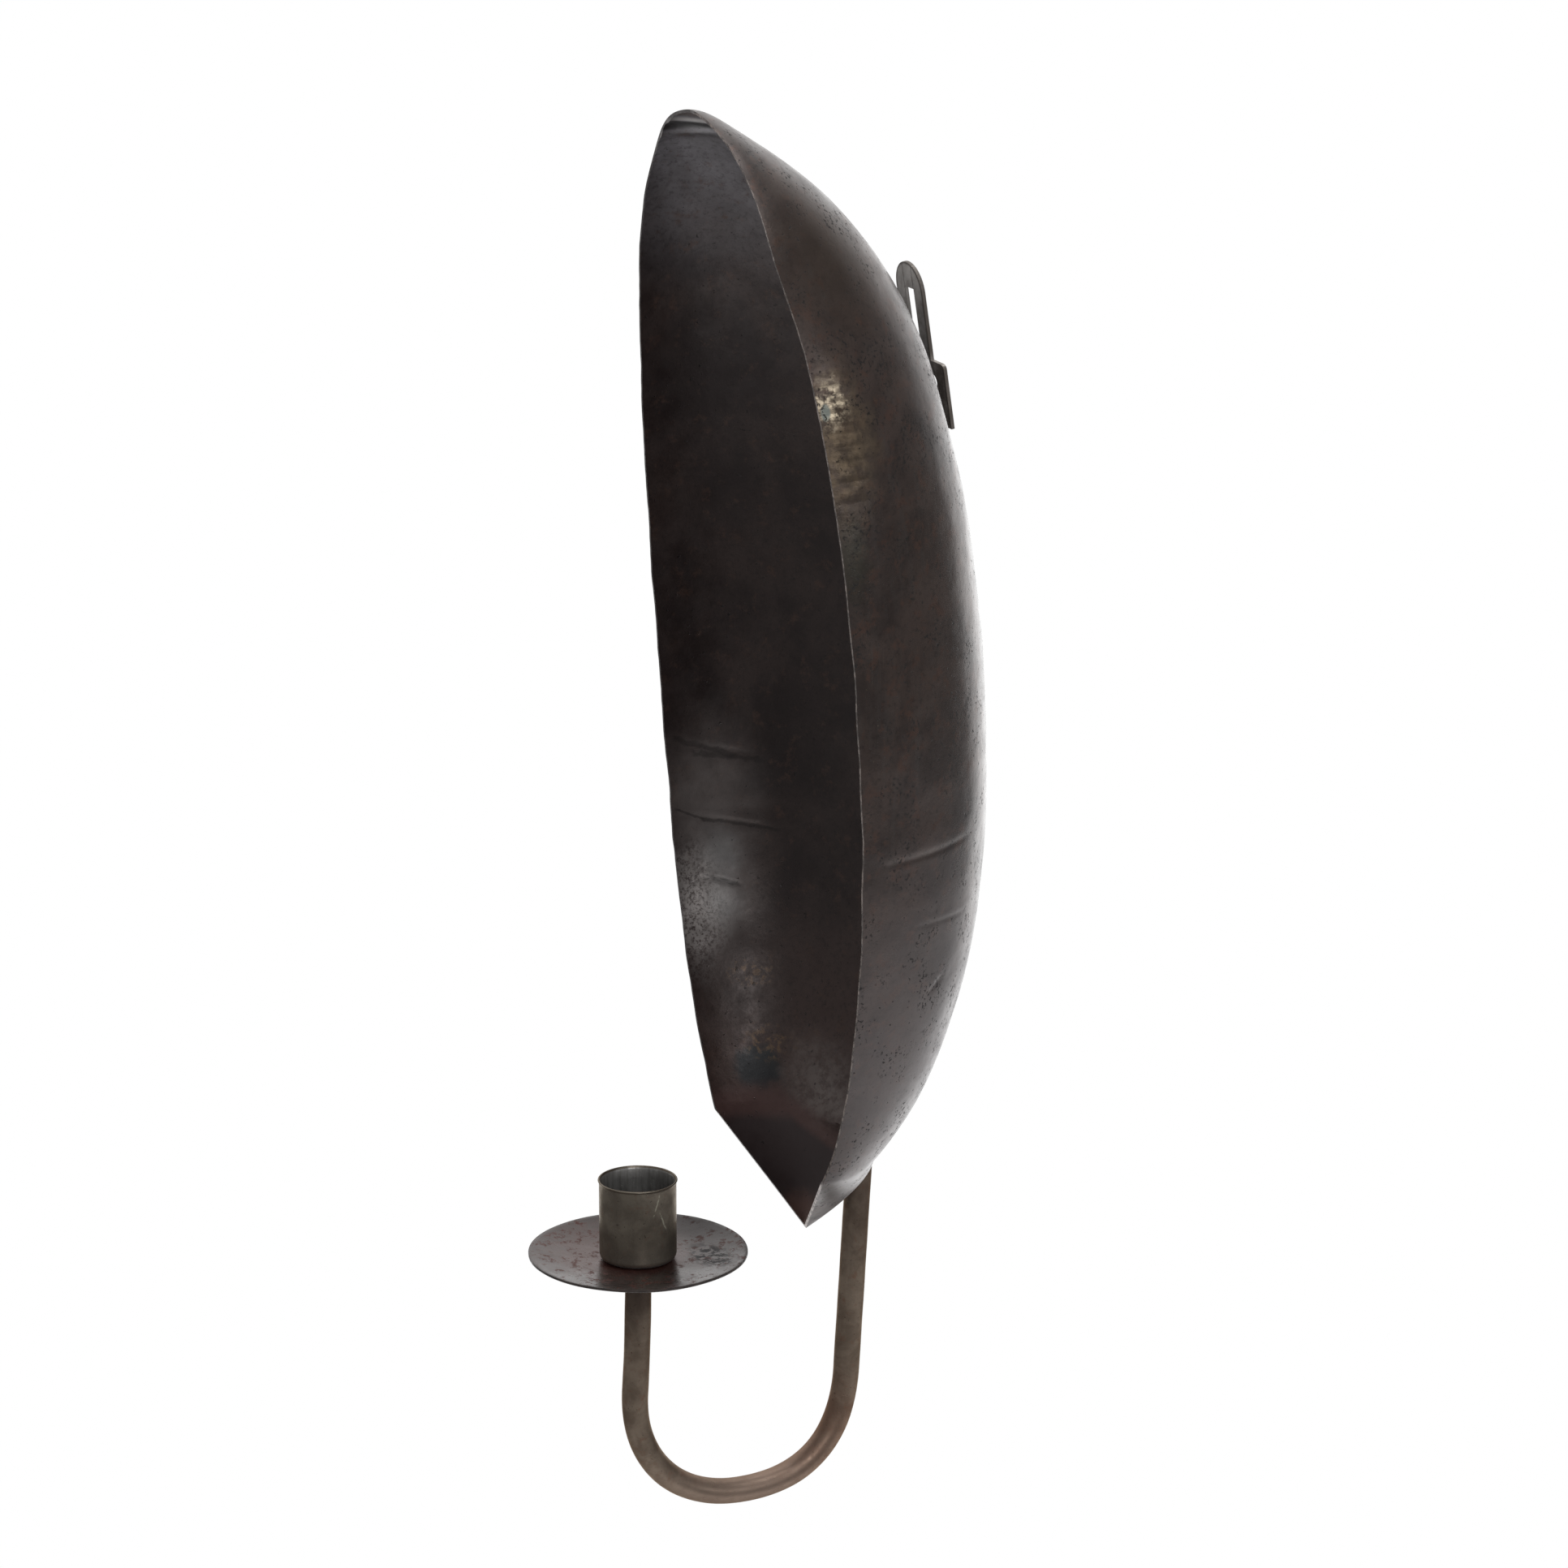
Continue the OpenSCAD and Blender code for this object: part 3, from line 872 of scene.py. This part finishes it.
def worn_bronze(p):
    """The worn zone beside the near rim, and a painted highlight of bright glints in its middle."""
    bronze = p.patch((62.5, -53.5, -29.0), (15.0, 12.0, 24.0), 0.40, 6.0, 0.8)
    worn = p.specks(4.0, 4.0, 0.65, 11.0, 0.35, 0.70)
    p.cover(bronze, 0.70, (0.074, 0.054, 0.037))
    p.cover(p.times(bronze, worn), 0.75, (0.172, 0.127, 0.082))
    # Painted highlight: pale glints laid over the middle of the worn zone
    painted_highlight = p.patch((61.0, -56.5, -17.3), (8.0, 6.3, 7.6), 0.5, 3.0, 0.8)
    glints = p.grain(1.6, 4.0, 0.65, p.stretched(1.0, 0.4, 1.0), shift=5.0)
    glints = p.band(glints, 0.40, 0.62, 0.25, 1.0)
    painted_highlight = p.times(painted_highlight, p.times(p.band(worn, 0.0, 0.6), glints))
    p.lay(painted_highlight, (0.78, 0.66, 0.49))
    return bronze


def dark_pits(p):
    """Pits all over and clusters of smaller pocks."""
    pits = p.specks(1.5, 2.0, 0.5, 31.0, 0.66, 0.74)
    p.cover(pits, 0.7, (0.010, 0.009, 0.009))
    pocks = p.specks(1.1, 3.0, 0.6, 33.0, 0.56, 0.62)
    pocks = p.times(pocks, p.specks(13.0, 3.0, 0.6, 37.0, 0.50, 0.60))
    p.cover(pocks, 0.85, (0.012, 0.010, 0.010))
    return p.larger(pits, pocks), pits


# Spots on the outside: green within the painted highlight of the worn zone, and mossy below it
OUTSIDE_STAINS = [
    ((61.4, -58.6, -19.6), (3.0, 1.7, 2.6), 0.15, 2.0, 0.3, 0.8, (0.150, 0.180, 0.170)),
    ((67.0, -53.0, -62.0), (10.0, 6.0, 14.0), 0.5, 4.0, 0.8, 0.5, (0.050, 0.052, 0.038)),
]


def shell_outside():
    p = Paint("shell_outside")
    clouds = p.grain(24.0, 5.0, 0.6, twist=0.6)
    mottle = p.grain(5.0, 5.0, 0.65, shift=3.0)
    fine = p.grain(1.0, 3.0, 0.6, shift=7.0)
    streaks = p.grain(6.0, 4.0, 0.6, p.stretched(1.0, 1.0, 0.12))
    p.color = p.mix(p.band(clouds, 0.35, 0.65), (0.044, 0.0325, 0.0295), (0.076, 0.0550, 0.0480))
    p.lay(p.band(streaks, 0.5, 0.75, 0.0, 0.5), (0.070, 0.062, 0.059))
    p.lay(p.band(mottle, 0.52, 0.66, 0.0, 0.65), (0.090, 0.050, 0.038))
    dark_flakes = p.specks(2.2, 6.0, 0.75, 23.0, 0.50, 0.66, 0.0, 0.45)
    p.lay(dark_flakes, (0.022, 0.017, 0.016))
    brown_top = p.patch((38.0, -48.0, 20.0), (26.0, 22.0, 30.0), 0.5, 9.0, 0.9)
    p.cover(brown_top, 0.70, (0.052, 0.037, 0.029))
    bronze = worn_bronze(p)
    p.cover_spots(OUTSIDE_STAINS)
    lower = p.patch((40.0, -20.0, -232.0), (75.0, 65.0, 92.0), 0.2, 20.0, 1.0)
    p.cover(lower, 0.65, (0.100, 0.088, 0.090))
    flecks = p.specks(1.3, 3.0, 0.6, 71.0, 0.70, 0.76)
    fleck_zone = p.patch((68.0, -46.0, -110.0), (12.0, 8.0, 26.0), 0.4, 5.0, 0.8)
    p.cover(p.times(flecks, fleck_zone), 0.8, (0.17, 0.14, 0.10))
    holes, pits = dark_pits(p)
    lines = p.larger(p.scratches(12.0, 26.0, 0.28, 0.29), p.scratches(-60.0, 18.0, 0.24, 0.27, 0.3))
    line_zone = p.specks(30.0, 2.0, 0.5, 41.0, 0.50, 0.62)
    p.cover(p.times(lines, line_zone), 0.45, (0.20, 0.17, 0.14))
    p.rough = p.specks(9.0, 5.0, 0.7, 51.0, 0.3, 0.7, 0.18, 0.28)
    p.roughen(holes, 0.30)
    p.roughen(p.larger(lower, bronze), 0.12)
    point = p.patch((4.0, -28.0, -284.0), (26.0, 24.0, 20.0), 0.2, 10.0, 1.0)
    p.roughen(point, 0.28)
    upper = p.band(p.axes()["Z"], -0.080, 0.020)
    p.roughen(upper, 0.10)
    metal = p.plus(0.50, p.times(bronze, 0.20))
    wrinkles = p.grain(2.4, 3.0, 0.5, p.stretched(0.5, 0.5, 1.0), shift=81.0)
    wrinkles = p.times(wrinkles, p.plus(p.times(bronze, 0.85), 0.15))
    uneven = p.height(wrinkles, 0.18, p.height(p.grain(5.0, 3.0, 0.5, shift=61.0), 0.08))
    surface = p.minus(p.times(fine, 0.45), p.times(pits, 0.5))
    p.normal = p.height(surface, 0.045, uneven)
    return p.finish(metal)


# Painted shade: dark lines along the creases inside, where shadow falls beside them: the (Y, Z)
# place of each end, half width and strength
CREASE_SHADE_LINES = [
    ((-47.4, -151.6), (-28.0, -158.4), 1.3, 0.40),
    ((-41.0, -157.0), (-20.0, -160.0), 1.3, 0.40),
    ((-47.4, -174.1), (-38.3, -178.0), 0.6, 0.50),
    ((-39.0, -177.9), (-16.0, -182.2), 0.8, 0.45),
    ((-37.4, -196.4), (-28.5, -199.2), 0.8, 0.45),
]
# Spots on the inner wall: two bluish ones in the grey wear, itself partly painted light, and a
# brown area below it
LEFT_WALL_STAINS = [
    ((-62.9, -33.5, -189.0), (6.5, 7.0, 9.5), 0.5, 4.0, 1.0, 0.50, (0.270, 0.272, 0.272)),
    ((-60.5, -34.5, -205.0), (6.5, 7.0, 9.5), 0.5, 4.0, 1.0, 0.50, (0.270, 0.272, 0.272)),
    ((-50.5, -32.0, -232.0), (18.0, 18.0, 23.0), 0.4, 7.0, 1.0, 0.85, (0.026, 0.016, 0.0145)),
]
# The shaded fold above the bottom tip starts to fall behind this place, at this slope
FOOT_FOLD_Y = -27.5
FOOT_FOLD_FALL = 0.85


def lip_marks(p, axes):
    """Painted shade in the groove and a painted highlight along the ridge of the pinched top, with
    a brown band above.
    """
    level = axes["Z"]
    from_rim = p.minus(axes["Y"], LIP_RIM_Y * MM)
    risen = p.minus(level, p.times(from_rim, 1.5 * GROOVE_RISE))
    # Painted shade: the groove under the pinched top is darkened
    groove = p.times(p.band(risen, 0.0474, 0.0488), p.band(level, 0.0530, 0.0520))
    p.cover(groove, 0.88, (0.014, 0.012, 0.012))
    # Painted highlight: a pale line along the ridge
    ridge = p.times(p.band(level, 0.0524, 0.0530), p.band(level, 0.0544, 0.0538))
    p.cover(ridge, 0.7, (0.34, 0.32, 0.31))
    above = p.band(level, 0.0545, 0.0555)
    p.cover(above, 0.8, (0.085, 0.060, 0.050))


def left_wall(p, axes):
    """Grey and silvery wear, lightened in part as painted light, flaking brown and painted shade
    lines along the creases on the wall.
    """
    # Part wear, part painted light: the grey and silvery worn patches are made lighter to stand in
    # for light from the front
    grey = p.patch((-62.5, -36.5, -198.0), (14.0, 13.0, 32.0), 0.45, 9.0, 1.0)
    upper_grey = p.patch((-65.0, -37.0, -173.0), (15.0, 16.0, 26.0), 0.35, 9.0, 1.0)
    grey = p.larger(grey, p.times(upper_grey, 0.78))
    p.cover(grey, 0.8, (0.222, 0.196, 0.188))
    silver = p.patch((-61.0, -42.5, -206.0), (10.0, 9.5, 22.0), 0.45, 7.0, 0.9)
    speckle = p.specks(1.3, 6.0, 0.8, 15.0, 0.38, 0.56)
    p.cover(p.times(silver, speckle), 0.9, (0.56, 0.52, 0.505))
    p.cover_spots(LEFT_WALL_STAINS)
    flaking = p.patch((-52.0, -28.0, -226.0), (8.0, 8.0, 5.0), 0.6, 3.0, 0.6)
    flaking = p.times(flaking, p.specks(2.0, 4.0, 0.7, 36.0, 0.50, 0.62))
    p.cover(flaking, 0.4, (0.170, 0.105, 0.060))
    far_wall = p.band(axes["X"], -0.030, -0.045)
    # Painted shade: dark lines beside the creases of the far wall
    for start, end, width, share in CREASE_SHADE_LINES:
        crease_shade = p.times(p.stroke(axes["Y"], axes["Z"], start, end, width), far_wall)
        p.cover(crease_shade, share, (0.010, 0.009, 0.009))
    return silver


def inner_foot(p, axes):
    """A dark spot, rusty and dusty areas, and the shaded fold above the bottom tip."""
    spot = p.patch((-40.5, -31.5, -253.5), (9.5, 8.0, 7.5), 0.45, 4.0, 0.35)
    p.cover(spot, 0.95, (0.022, 0.024, 0.027))
    tan = p.patch((-42.0, -27.0, -246.5), (11.0, 8.0, 5.5), 0.6, 3.0, 0.6)
    tan_speckle = p.specks(2.2, 4.0, 0.7, 35.0, 0.48, 0.62)
    p.cover(p.times(tan, tan_speckle), 0.6, (0.170, 0.105, 0.058))
    dusty = p.patch((-20.0, -18.0, -256.0), (24.0, 9.0, 17.0), 0.5, 6.0, 1.0)
    dust_grain = p.specks(3.0, 5.0, 0.7, 95.0, 0.35, 0.60, 0.3, 1.0)
    p.cover(p.times(dusty, dust_grain), 0.7, (0.230, 0.196, 0.182))
    behind = p.larger(p.plus(axes["Y"], -FOOT_FOLD_Y * MM), 0.0)
    crest = p.plus(axes["Z"], p.times(behind, FOOT_FOLD_FALL))
    crest = p.plus(crest, p.times(p.grain(9.0, 3.0, 0.5, shift=99.0), 0.003))
    p.cover(p.band(crest, -0.2540, -0.2610), 0.65, (0.110, 0.058, 0.053))
    p.cover(p.band(crest, -0.2625, -0.2665), 0.85, (0.044, 0.034, 0.035))
    tip = p.patch((-4.0, -34.0, -289.0), (8.0, 7.0, 8.0), 0.3, 3.0, 0.8)
    p.cover(tip, 0.7, (0.170, 0.096, 0.078))


def shell_inside():
    p = Paint("shell_inside")
    clouds = p.grain(30.0, 5.0, 0.6, twist=0.5, shift=2.0)
    mottle = p.grain(5.0, 6.0, 0.7, shift=5.0)
    fine = p.grain(1.2, 3.0, 0.6, shift=9.0)
    axes = p.axes()
    level = axes["Z"]
    p.color = p.mix(p.band(clouds, 0.35, 0.65), (0.028, 0.019, 0.0185), (0.052, 0.036, 0.033))
    # Painted reflection: the upper inside, which faces down, is made lighter and bluish as though
    # it reflects the pale floor, in mottled tones
    top = p.band(level, -0.012, 0.052)
    bloom_and_reflection = p.specks(16.0, 6.0, 0.7, 75.0, 0.35, 0.65)
    floor_reflection_tone = p.mix(bloom_and_reflection, (0.142, 0.132, 0.141), (0.204, 0.193, 0.208))
    p.lay(top, floor_reflection_tone)
    foot = p.band(level, -0.190, -0.250)
    p.cover(foot, 0.6, (0.100, 0.062, 0.054))
    p.lay(p.band(mottle, 0.54, 0.70, 0.0, 0.6), (0.088, 0.050, 0.038))
    freckles = p.specks(1.7, 6.0, 0.75, 85.0, 0.48, 0.66)
    p.cover(freckles, 0.45, (0.020, 0.0145, 0.0145))
    lip_marks(p, axes)
    silver = left_wall(p, axes)
    inner_foot(p, axes)
    pits = p.specks(1.5, 2.0, 0.5, 45.0, 0.68, 0.76)
    p.cover(pits, 0.6, (0.008, 0.008, 0.008))
    p.rough = p.specks(8.0, 5.0, 0.7, 55.0, 0.3, 0.7, 0.30, 0.48)
    metal = p.plus(0.40, p.times(silver, 0.35))
    uneven = p.height(p.grain(6.0, 3.0, 0.5, shift=65.0), 0.10)
    surface = p.minus(p.times(fine, 0.5), pits)
    p.normal = p.height(surface, 0.045, uneven)
    return p.finish(metal)


def shell_edge():
    p = Paint("shell_edge")
    wear = p.grain(3.0, 5.0, 0.75)
    p.color = p.mix(p.band(wear, 0.42, 0.60), (0.060, 0.044, 0.038), (0.27, 0.215, 0.190))
    far_side = p.band(p.axes()["X"], 0.004, -0.004)
    p.cover(far_side, 0.9, (0.030, 0.023, 0.021))
    p.rough = p.band(wear, 0.3, 0.7, 0.5, 0.32)
    p.normal = p.height(p.grain(1.0, 3.0, 0.6), 0.05)
    return p.finish(0.6)


def aged_metal(name, dark, light, tint, grain_mm, roughness):
    """Patinated metal in two tones, with a tinted mottle and small pits."""
    p = Paint(name)
    clouds = p.grain(grain_mm, 5.0, 0.62, twist=0.4)
    mottle = p.grain(grain_mm * 0.35, 5.0, 0.65, shift=4.0)
    p.color = p.mix(p.band(clouds, 0.36, 0.64), dark, light)
    p.lay(p.band(mottle, 0.54, 0.72, 0.0, 0.7), tint)
    pits = p.specks(0.9, 2.0, 0.5, 8.0, 0.66, 0.74)
    p.cover(pits, 0.6, tuple(c * 0.25 for c in dark))
    p.rough = p.band(mottle, 0.3, 0.7, roughness[0], roughness[1])
    surface = p.minus(p.times(p.grain(0.8, 3.0, 0.6), 0.4), pits)
    p.normal = p.height(surface, 0.035, p.height(p.grain(3.0, 3.0, 0.5, shift=12.0), 0.05))
    return p


# Marks on the arm: a reddish stain along the bend, painted shadow under the pan, painted
# shade where it meets the shell and painted light below the bend
ARM_STAINS_AND_PAINTED_LIGHT = [
    ((0.0, -36.0, -360.0), (14.0, 26.0, 22.0), 0.4, 6.0, 0.9, 0.50, (0.230, 0.120, 0.082)),
    # Painted shadow of the pan on the arm
    ((0.0, -92.0, -296.0), (12.0, 12.0, 26.0), 0.3, 5.0, 0.8, 0.85, (0.050, 0.037, 0.032)),
    # Painted shade where the arm meets the shell
    ((0.0, -13.0, -284.0), (14.0, 14.0, 30.0), 0.3, 5.0, 0.9, 0.60, (0.070, 0.050, 0.042)),
    # Painted light: the bottom of the bend is made paler
    ((0.0, -56.0, -378.0), (16.0, 42.0, 20.0), 0.3, 8.0, 1.0, 0.80, (0.315, 0.232, 0.186)),
]


def arm_metal():
    dark, light, tint = (0.158, 0.120, 0.092), (0.244, 0.193, 0.150), (0.190, 0.114, 0.081)
    p = aged_metal("arm_bronze", dark, light, tint, 9.0, (0.38, 0.54))
    p.cover_spots(ARM_STAINS_AND_PAINTED_LIGHT)
    return p.finish(0.78, {"Specular IOR Level": 0.25, "Specular Tint": (0.45, 0.38, 0.32, 1.0)})


def hanger_metal():
    dark, light, tint = (0.500, 0.486, 0.465), (0.700, 0.682, 0.655), (0.440, 0.385, 0.340)
    p = aged_metal("hanger_patina", dark, light, tint, 6.0, (0.36, 0.52))
    axes = p.axes()
    aside = p.absolute(axes["X"])
    level = axes["Z"]
    # Two lines scribed above the slot, on from its sides
    scribed = p.band(p.absolute(p.plus(aside, -SLOT_W / 2 * MM)), 0.0002, 0.0004, 1.0, 0.0)
    scribed = p.times(scribed, p.band(level, -0.001, 0.001))
    p.cover(scribed, 0.6, (0.045, 0.038, 0.034))
    # Painted shade: the lower tongue, towards the shell, is darkened
    lower = p.band(level, 0.012, -0.009)
    p.cover(lower, 0.9, (0.120, 0.109, 0.102))
    # Painted light: the base is made paler again to offset the shade it lies in
    base = p.band(level, -0.017, -0.022)
    p.cover(base, 0.9, (0.450, 0.418, 0.390))
    smudge = p.specks(5.0, 5.0, 0.6, 23.0, 0.40, 0.62)
    smudge = p.times(smudge, p.band(level, -0.008, -0.024, 0.25, 0.65))
    p.lay(smudge, (0.150, 0.126, 0.108))
    p.roughen(smudge, 0.15)
    # Dirt along the edges of the tongue and the base
    above = p.larger(p.minus(level, (SLOT_HEAD - TONGUE_W / 2) * MM), 0.0)
    reach = p.math("SQRT", p.plus(p.times(aside, aside), p.times(above, above)))
    tongue_edge = p.band(reach, (TONGUE_W / 2 - 1.2) * MM, (TONGUE_W / 2 - 0.3) * MM)
    tongue_edge = p.times(tongue_edge, p.minus(1.0, base))
    base_edge = p.band(aside, (BASE_W / 2 - 0.8) * MM, (BASE_W / 2 - 0.3) * MM)
    dirty = p.times(p.larger(tongue_edge, base_edge), 0.85)
    p.lay(dirty, (0.105, 0.088, 0.076))
    p.roughen(dirty, 0.2)
    return p.finish(0.5)


# Two scratches on the cup: height and sideways place of each end, and the direction
# that is sideways in the photo
CUP_SCRATCHES = [
    ((-269.6, -75.5), (-276.2, -77.2)),
    ((-275.2, -75.3), (-280.8, -73.6)),
]
CUP_SIDEWAYS = (0.438, 0.899, 0.0)


def cup_metal():
    dark, light, tint = (0.120, 0.101, 0.082), (0.184, 0.159, 0.128), (0.147, 0.100, 0.075)
    p = aged_metal("cup_patina", dark, light, tint, 8.0, (0.32, 0.45))
    lines = p.larger(p.scratches(18.0, 9.0, 0.30, 0.29), p.scratches(-25.0, 7.0, 0.28, 0.27, 0.6))
    p.cover(lines, 0.35, (0.30, 0.28, 0.24))
    axes = p.axes()
    sideways = p.vector("DOT_PRODUCT", p.place, CUP_SIDEWAYS)
    for start, end in CUP_SCRATCHES:
        scratch = p.stroke(axes["Z"], sideways, start, end, 0.28)
        scratch = p.times(scratch, p.band(axes["X"], 0.0, 0.004))
        scratch = p.times(scratch, p.specks(2.0, 3.0, 0.6, 19.0, 0.38, 0.55))
        p.lay(scratch, (0.38, 0.36, 0.29))
    # Painted light: the cup is made lighter towards its foot
    foot = p.patch(CUP_BASE, (30.0, 30.0, 8.0), 0.15, 6.0, 0.9)
    p.cover(foot, 0.6, (0.240, 0.218, 0.185))
    from_axis = p.vector("SUBTRACT", p.place, tuple(CUP_BASE * MM))
    from_axis = p.vector("MULTIPLY", from_axis, (1.0, 1.0, 0.0))
    from_axis = p.vector("LENGTH", from_axis)
    bore = p.band(from_axis, (CUP_BORE_R + 0.25) * MM, (CUP_BORE_R + 0.15) * MM)
    drawn = p.grain(1.6, 4.0, 0.6, p.stretched(1.0, 1.0, 0.10))
    drawn_color = p.mix(p.band(drawn, 0.35, 0.65), (0.19, 0.184, 0.177), (0.29, 0.285, 0.278))
    p.lay(bore, drawn_color)
    return p.finish(0.66, {"Specular Tint": (0.60, 0.55, 0.48, 1.0)})


def pan_metal():
    p = Paint("pan_patina")
    clouds = p.grain(11.0, 5.0, 0.62, twist=0.5)
    mottle = p.grain(3.6, 6.0, 0.75, shift=6.0)
    p.color = p.mix(p.band(clouds, 0.36, 0.64), (0.038, 0.027, 0.024), (0.066, 0.051, 0.047))
    red = p.band(mottle, 0.53, 0.61)
    p.cover(red, 0.85, (0.092, 0.030, 0.022))
    beside_cup = CUP_BASE + Vector((-6.0, -5.0, 0.0))
    around = p.patch(beside_cup, (25.0, 25.0, 9.0), 0.6, 4.0, 0.7)
    p.cover(around, 0.6, (0.090, 0.038, 0.030))
    ring = p.patch(CUP_BASE, (15.0, 15.0, 6.0), 0.25, 2.0, 0.35)
    p.cover(ring, 0.8, (0.065, 0.022, 0.017))
    smudge = p.patch((10.0, -71.5, -292.0), (12.0, 6.0, 5.0), 0.5, 3.0, 0.5)
    smudge = p.times(smudge, p.specks(2.4, 5.0, 0.7, 16.0, 0.44, 0.54))
    p.cover(smudge, 0.9, (0.026, 0.024, 0.024))
    p.rough = p.band(clouds, 0.3, 0.7, 0.25, 0.40)
    shade = p.patch((-17.0, -60.0, -291.0), (18.0, 18.0, 8.0), 0.3, 8.0, 0.9)
    p.cover(shade, 0.7, (0.026, 0.020, 0.019))
    p.roughen(p.larger(smudge, red), 0.28)
    p.roughen(shade, 0.15)
    surface = p.times(p.grain(0.9, 3.0, 0.6), 0.5)
    p.normal = p.height(surface, 0.03, p.height(p.grain(4.0, 3.0, 0.5, shift=12.0), 0.06))
    return p.finish(0.5)


SHELL_OUTSIDE = shell_outside()
SHELL_INSIDE = shell_inside()
SHELL_EDGE = shell_edge()
ARM_METAL = arm_metal()
HANGER_METAL = hanger_metal()
CUP_METAL = cup_metal()
PAN_METAL = pan_metal()

# Dark, light and tint, the size of the grain, the least and most roughness
EDGE_LOOKS = (0.036, 0.029, 0.027), (0.060, 0.047, 0.043), (0.070, 0.036, 0.028), 5.0, (0.36, 0.55)
SOLDER_LOOKS = (0.16, 0.155, 0.15), (0.26, 0.25, 0.24), (0.12, 0.10, 0.09), 4.0, (0.38, 0.60)
BRASS_LOOKS = (0.20, 0.15, 0.08), (0.32, 0.25, 0.13), (0.12, 0.08, 0.05), 3.0, (0.30, 0.50)
PAN_EDGE = aged_metal("pan_edge", *EDGE_LOOKS).finish(0.4)
SOLDER = aged_metal("solder_grey", *SOLDER_LOOKS).finish(0.7)
BRASS = aged_metal("screw_brass", *BRASS_LOOKS).finish(0.8)

# Pieces: (object, CAD node that it stands for, material slot)
PIECES = [
    (build_shell(), "reflector_shell", "shell_sheet"),
    (build_hanger(), "hanger_plate", "hanger_sheet"),
    (build_solder("hanger_solder_lump", "hanger_solder", 0.35, 0.12, 2.5), "hanger_solder",
     "solder"),
    (build_arm(), "arm_tube", "arm_metal"),
    (build_solder("arm_solder_pad", "arm_solder", 0.25, 0.15, 3.0), "arm_solder", "solder"),
    (build_pan(), "drip_pan", "pan_sheet"),
    (build_cup(), "candle_cup", "cup_sheet"),
    (build_screw(), "cup_screw", "screw_metal"),
]
for piece, cad_node, slot_name in PIECES:
    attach(piece, "root")
    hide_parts(cad_node)

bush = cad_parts["arm_bush"]
bush.data.materials.clear()
dress(bush, BRASS)

# Floor, as far below as a holder hangs above a real one
FLOOR_Z = -1.5
FLOOR_HALF = 0.8


def build_floor():
    corners = [(-1, -1), (1, -1), (1, 1), (-1, 1)]
    points = [(x * FLOOR_HALF / MM, y * FLOOR_HALF / MM, FLOOR_Z / MM) for x, y in corners]
    floor = make_object("studio_floor", points, [(0, 1, 2, 3)], smooth=False)
    p = Paint("floor_pale")
    tone = p.grain(180.0, 3.0, 0.5)
    p.color = p.mix(p.band(tone, 0.3, 0.7), (0.78, 0.78, 0.78), (0.82, 0.82, 0.82))
    p.rough = 0.7
    p.normal = p.height(p.grain(3.0), 0.02)
    dress(floor, p.finish(0.0))


build_floor()

# Camera at the photograph's place, to the object's right front and a little above it
CAMERA_AT = Vector((1.6046, -0.8247, 0.3800))
CAMERA_TARGET = Vector((0.0, -0.0420, -0.1489))
SENSOR_MM = 36.0
FOCAL_PX = 7600
IMAGE_PX = 1932


def aim(obj, at, direction):
    obj.location = at
    obj.rotation_mode = "QUATERNION"
    obj.rotation_quaternion = direction.to_track_quat("-Z", "Y")


def build_camera():
    data = bpy.data.cameras.new("photo_camera")
    data.sensor_width = SENSOR_MM
    data.lens = SENSOR_MM * FOCAL_PX / IMAGE_PX
    data.clip_start = 0.05
    data.clip_end = 50.0
    camera = add_object("photo_camera", data)
    aim(camera, CAMERA_AT, CAMERA_TARGET - CAMERA_AT)
    bpy.context.scene.camera = camera


build_camera()


# Light: a white studio wall behind the object, a pale floor glow from below, and a
# darker room round the camera
def toward(azimuth, elevation):
    """Direction in degrees. Azimuth 0 is the front, 90 the object's right."""
    a = math.radians(azimuth)
    e = math.radians(elevation)
    return (math.sin(a) * math.cos(e), -math.cos(a) * math.cos(e), math.sin(e))


ROOM_LEVEL = 0.20
GLOWS = [
    # direction, angle where it is full, angle where it has faded out, strength
    (toward(-108, 26), 30.0, 76.0, 1.14),
    (toward(-118, -14), 36.0, 48.0, 1.33),
    (toward(-118, -34), 30.0, 44.0, 1.85),
    (toward(180, -80), 36.0, 74.0, 1.20),
    (toward(-5, 15), 40.0, 80.0, 0.36),
]
LAMP_DISTANCE = 2.4
LAMPS = [
    # name, direction, width and height, watts
    ("side_soft_box", toward(120, 11), (0.6, 0.5), 3.6),
    ("high_soft_box", toward(116, 61), (0.5, 0.4), 9.0),
    ("front_soft_box", toward(77, 22), (0.9, 0.8), 13.0),
    ("overhead_soft_box", toward(-150, 80), (1.4, 1.4), 26.0),
]


def build_world():
    """The camera sees plain white. All other rays see the room and its glows."""
    world = bpy.data.worlds.new("studio_world")
    bpy.context.scene.world = world
    world.use_nodes = True
    nodes = Nodes(world.node_tree)
    nodes.tree.nodes.clear()
    ray = nodes.add("TexCoord", {})["Generated"]
    total = ROOM_LEVEL
    for direction, full, faded, strength in GLOWS:
        facing = nodes.vector("DOT_PRODUCT", ray, direction)
        none_at = math.cos(math.radians(faded))
        full_at = math.cos(math.radians(full))
        total = nodes.larger(nodes.band(facing, none_at, full_at, 0.0, strength), total)
    white = (1.0, 1.0, 1.0, 1.0)
    studio = nodes.add("Background", {"Color": white, "Strength": total})[0]
    backdrop = nodes.add("Background", {"Color": white, "Strength": 1.0})[0]
    camera_ray = nodes.add("LightPath", {})["Is Camera Ray"]
    light = nodes.add("MixShader", {0: camera_ray, 1: studio, 2: backdrop})[0]
    nodes.add("OutputWorld", {"Surface": light})


def build_lamp(name, direction, size, watts):
    data = bpy.data.lights.new(name, "AREA")
    data.shape = "RECTANGLE"
    data.size, data.size_y = size
    data.energy = watts
    out = Vector(direction)
    aim(add_object(name, data), CAMERA_TARGET + out * LAMP_DISTANCE, -out)


build_world()
for lamp in LAMPS:
    build_lamp(*lamp)
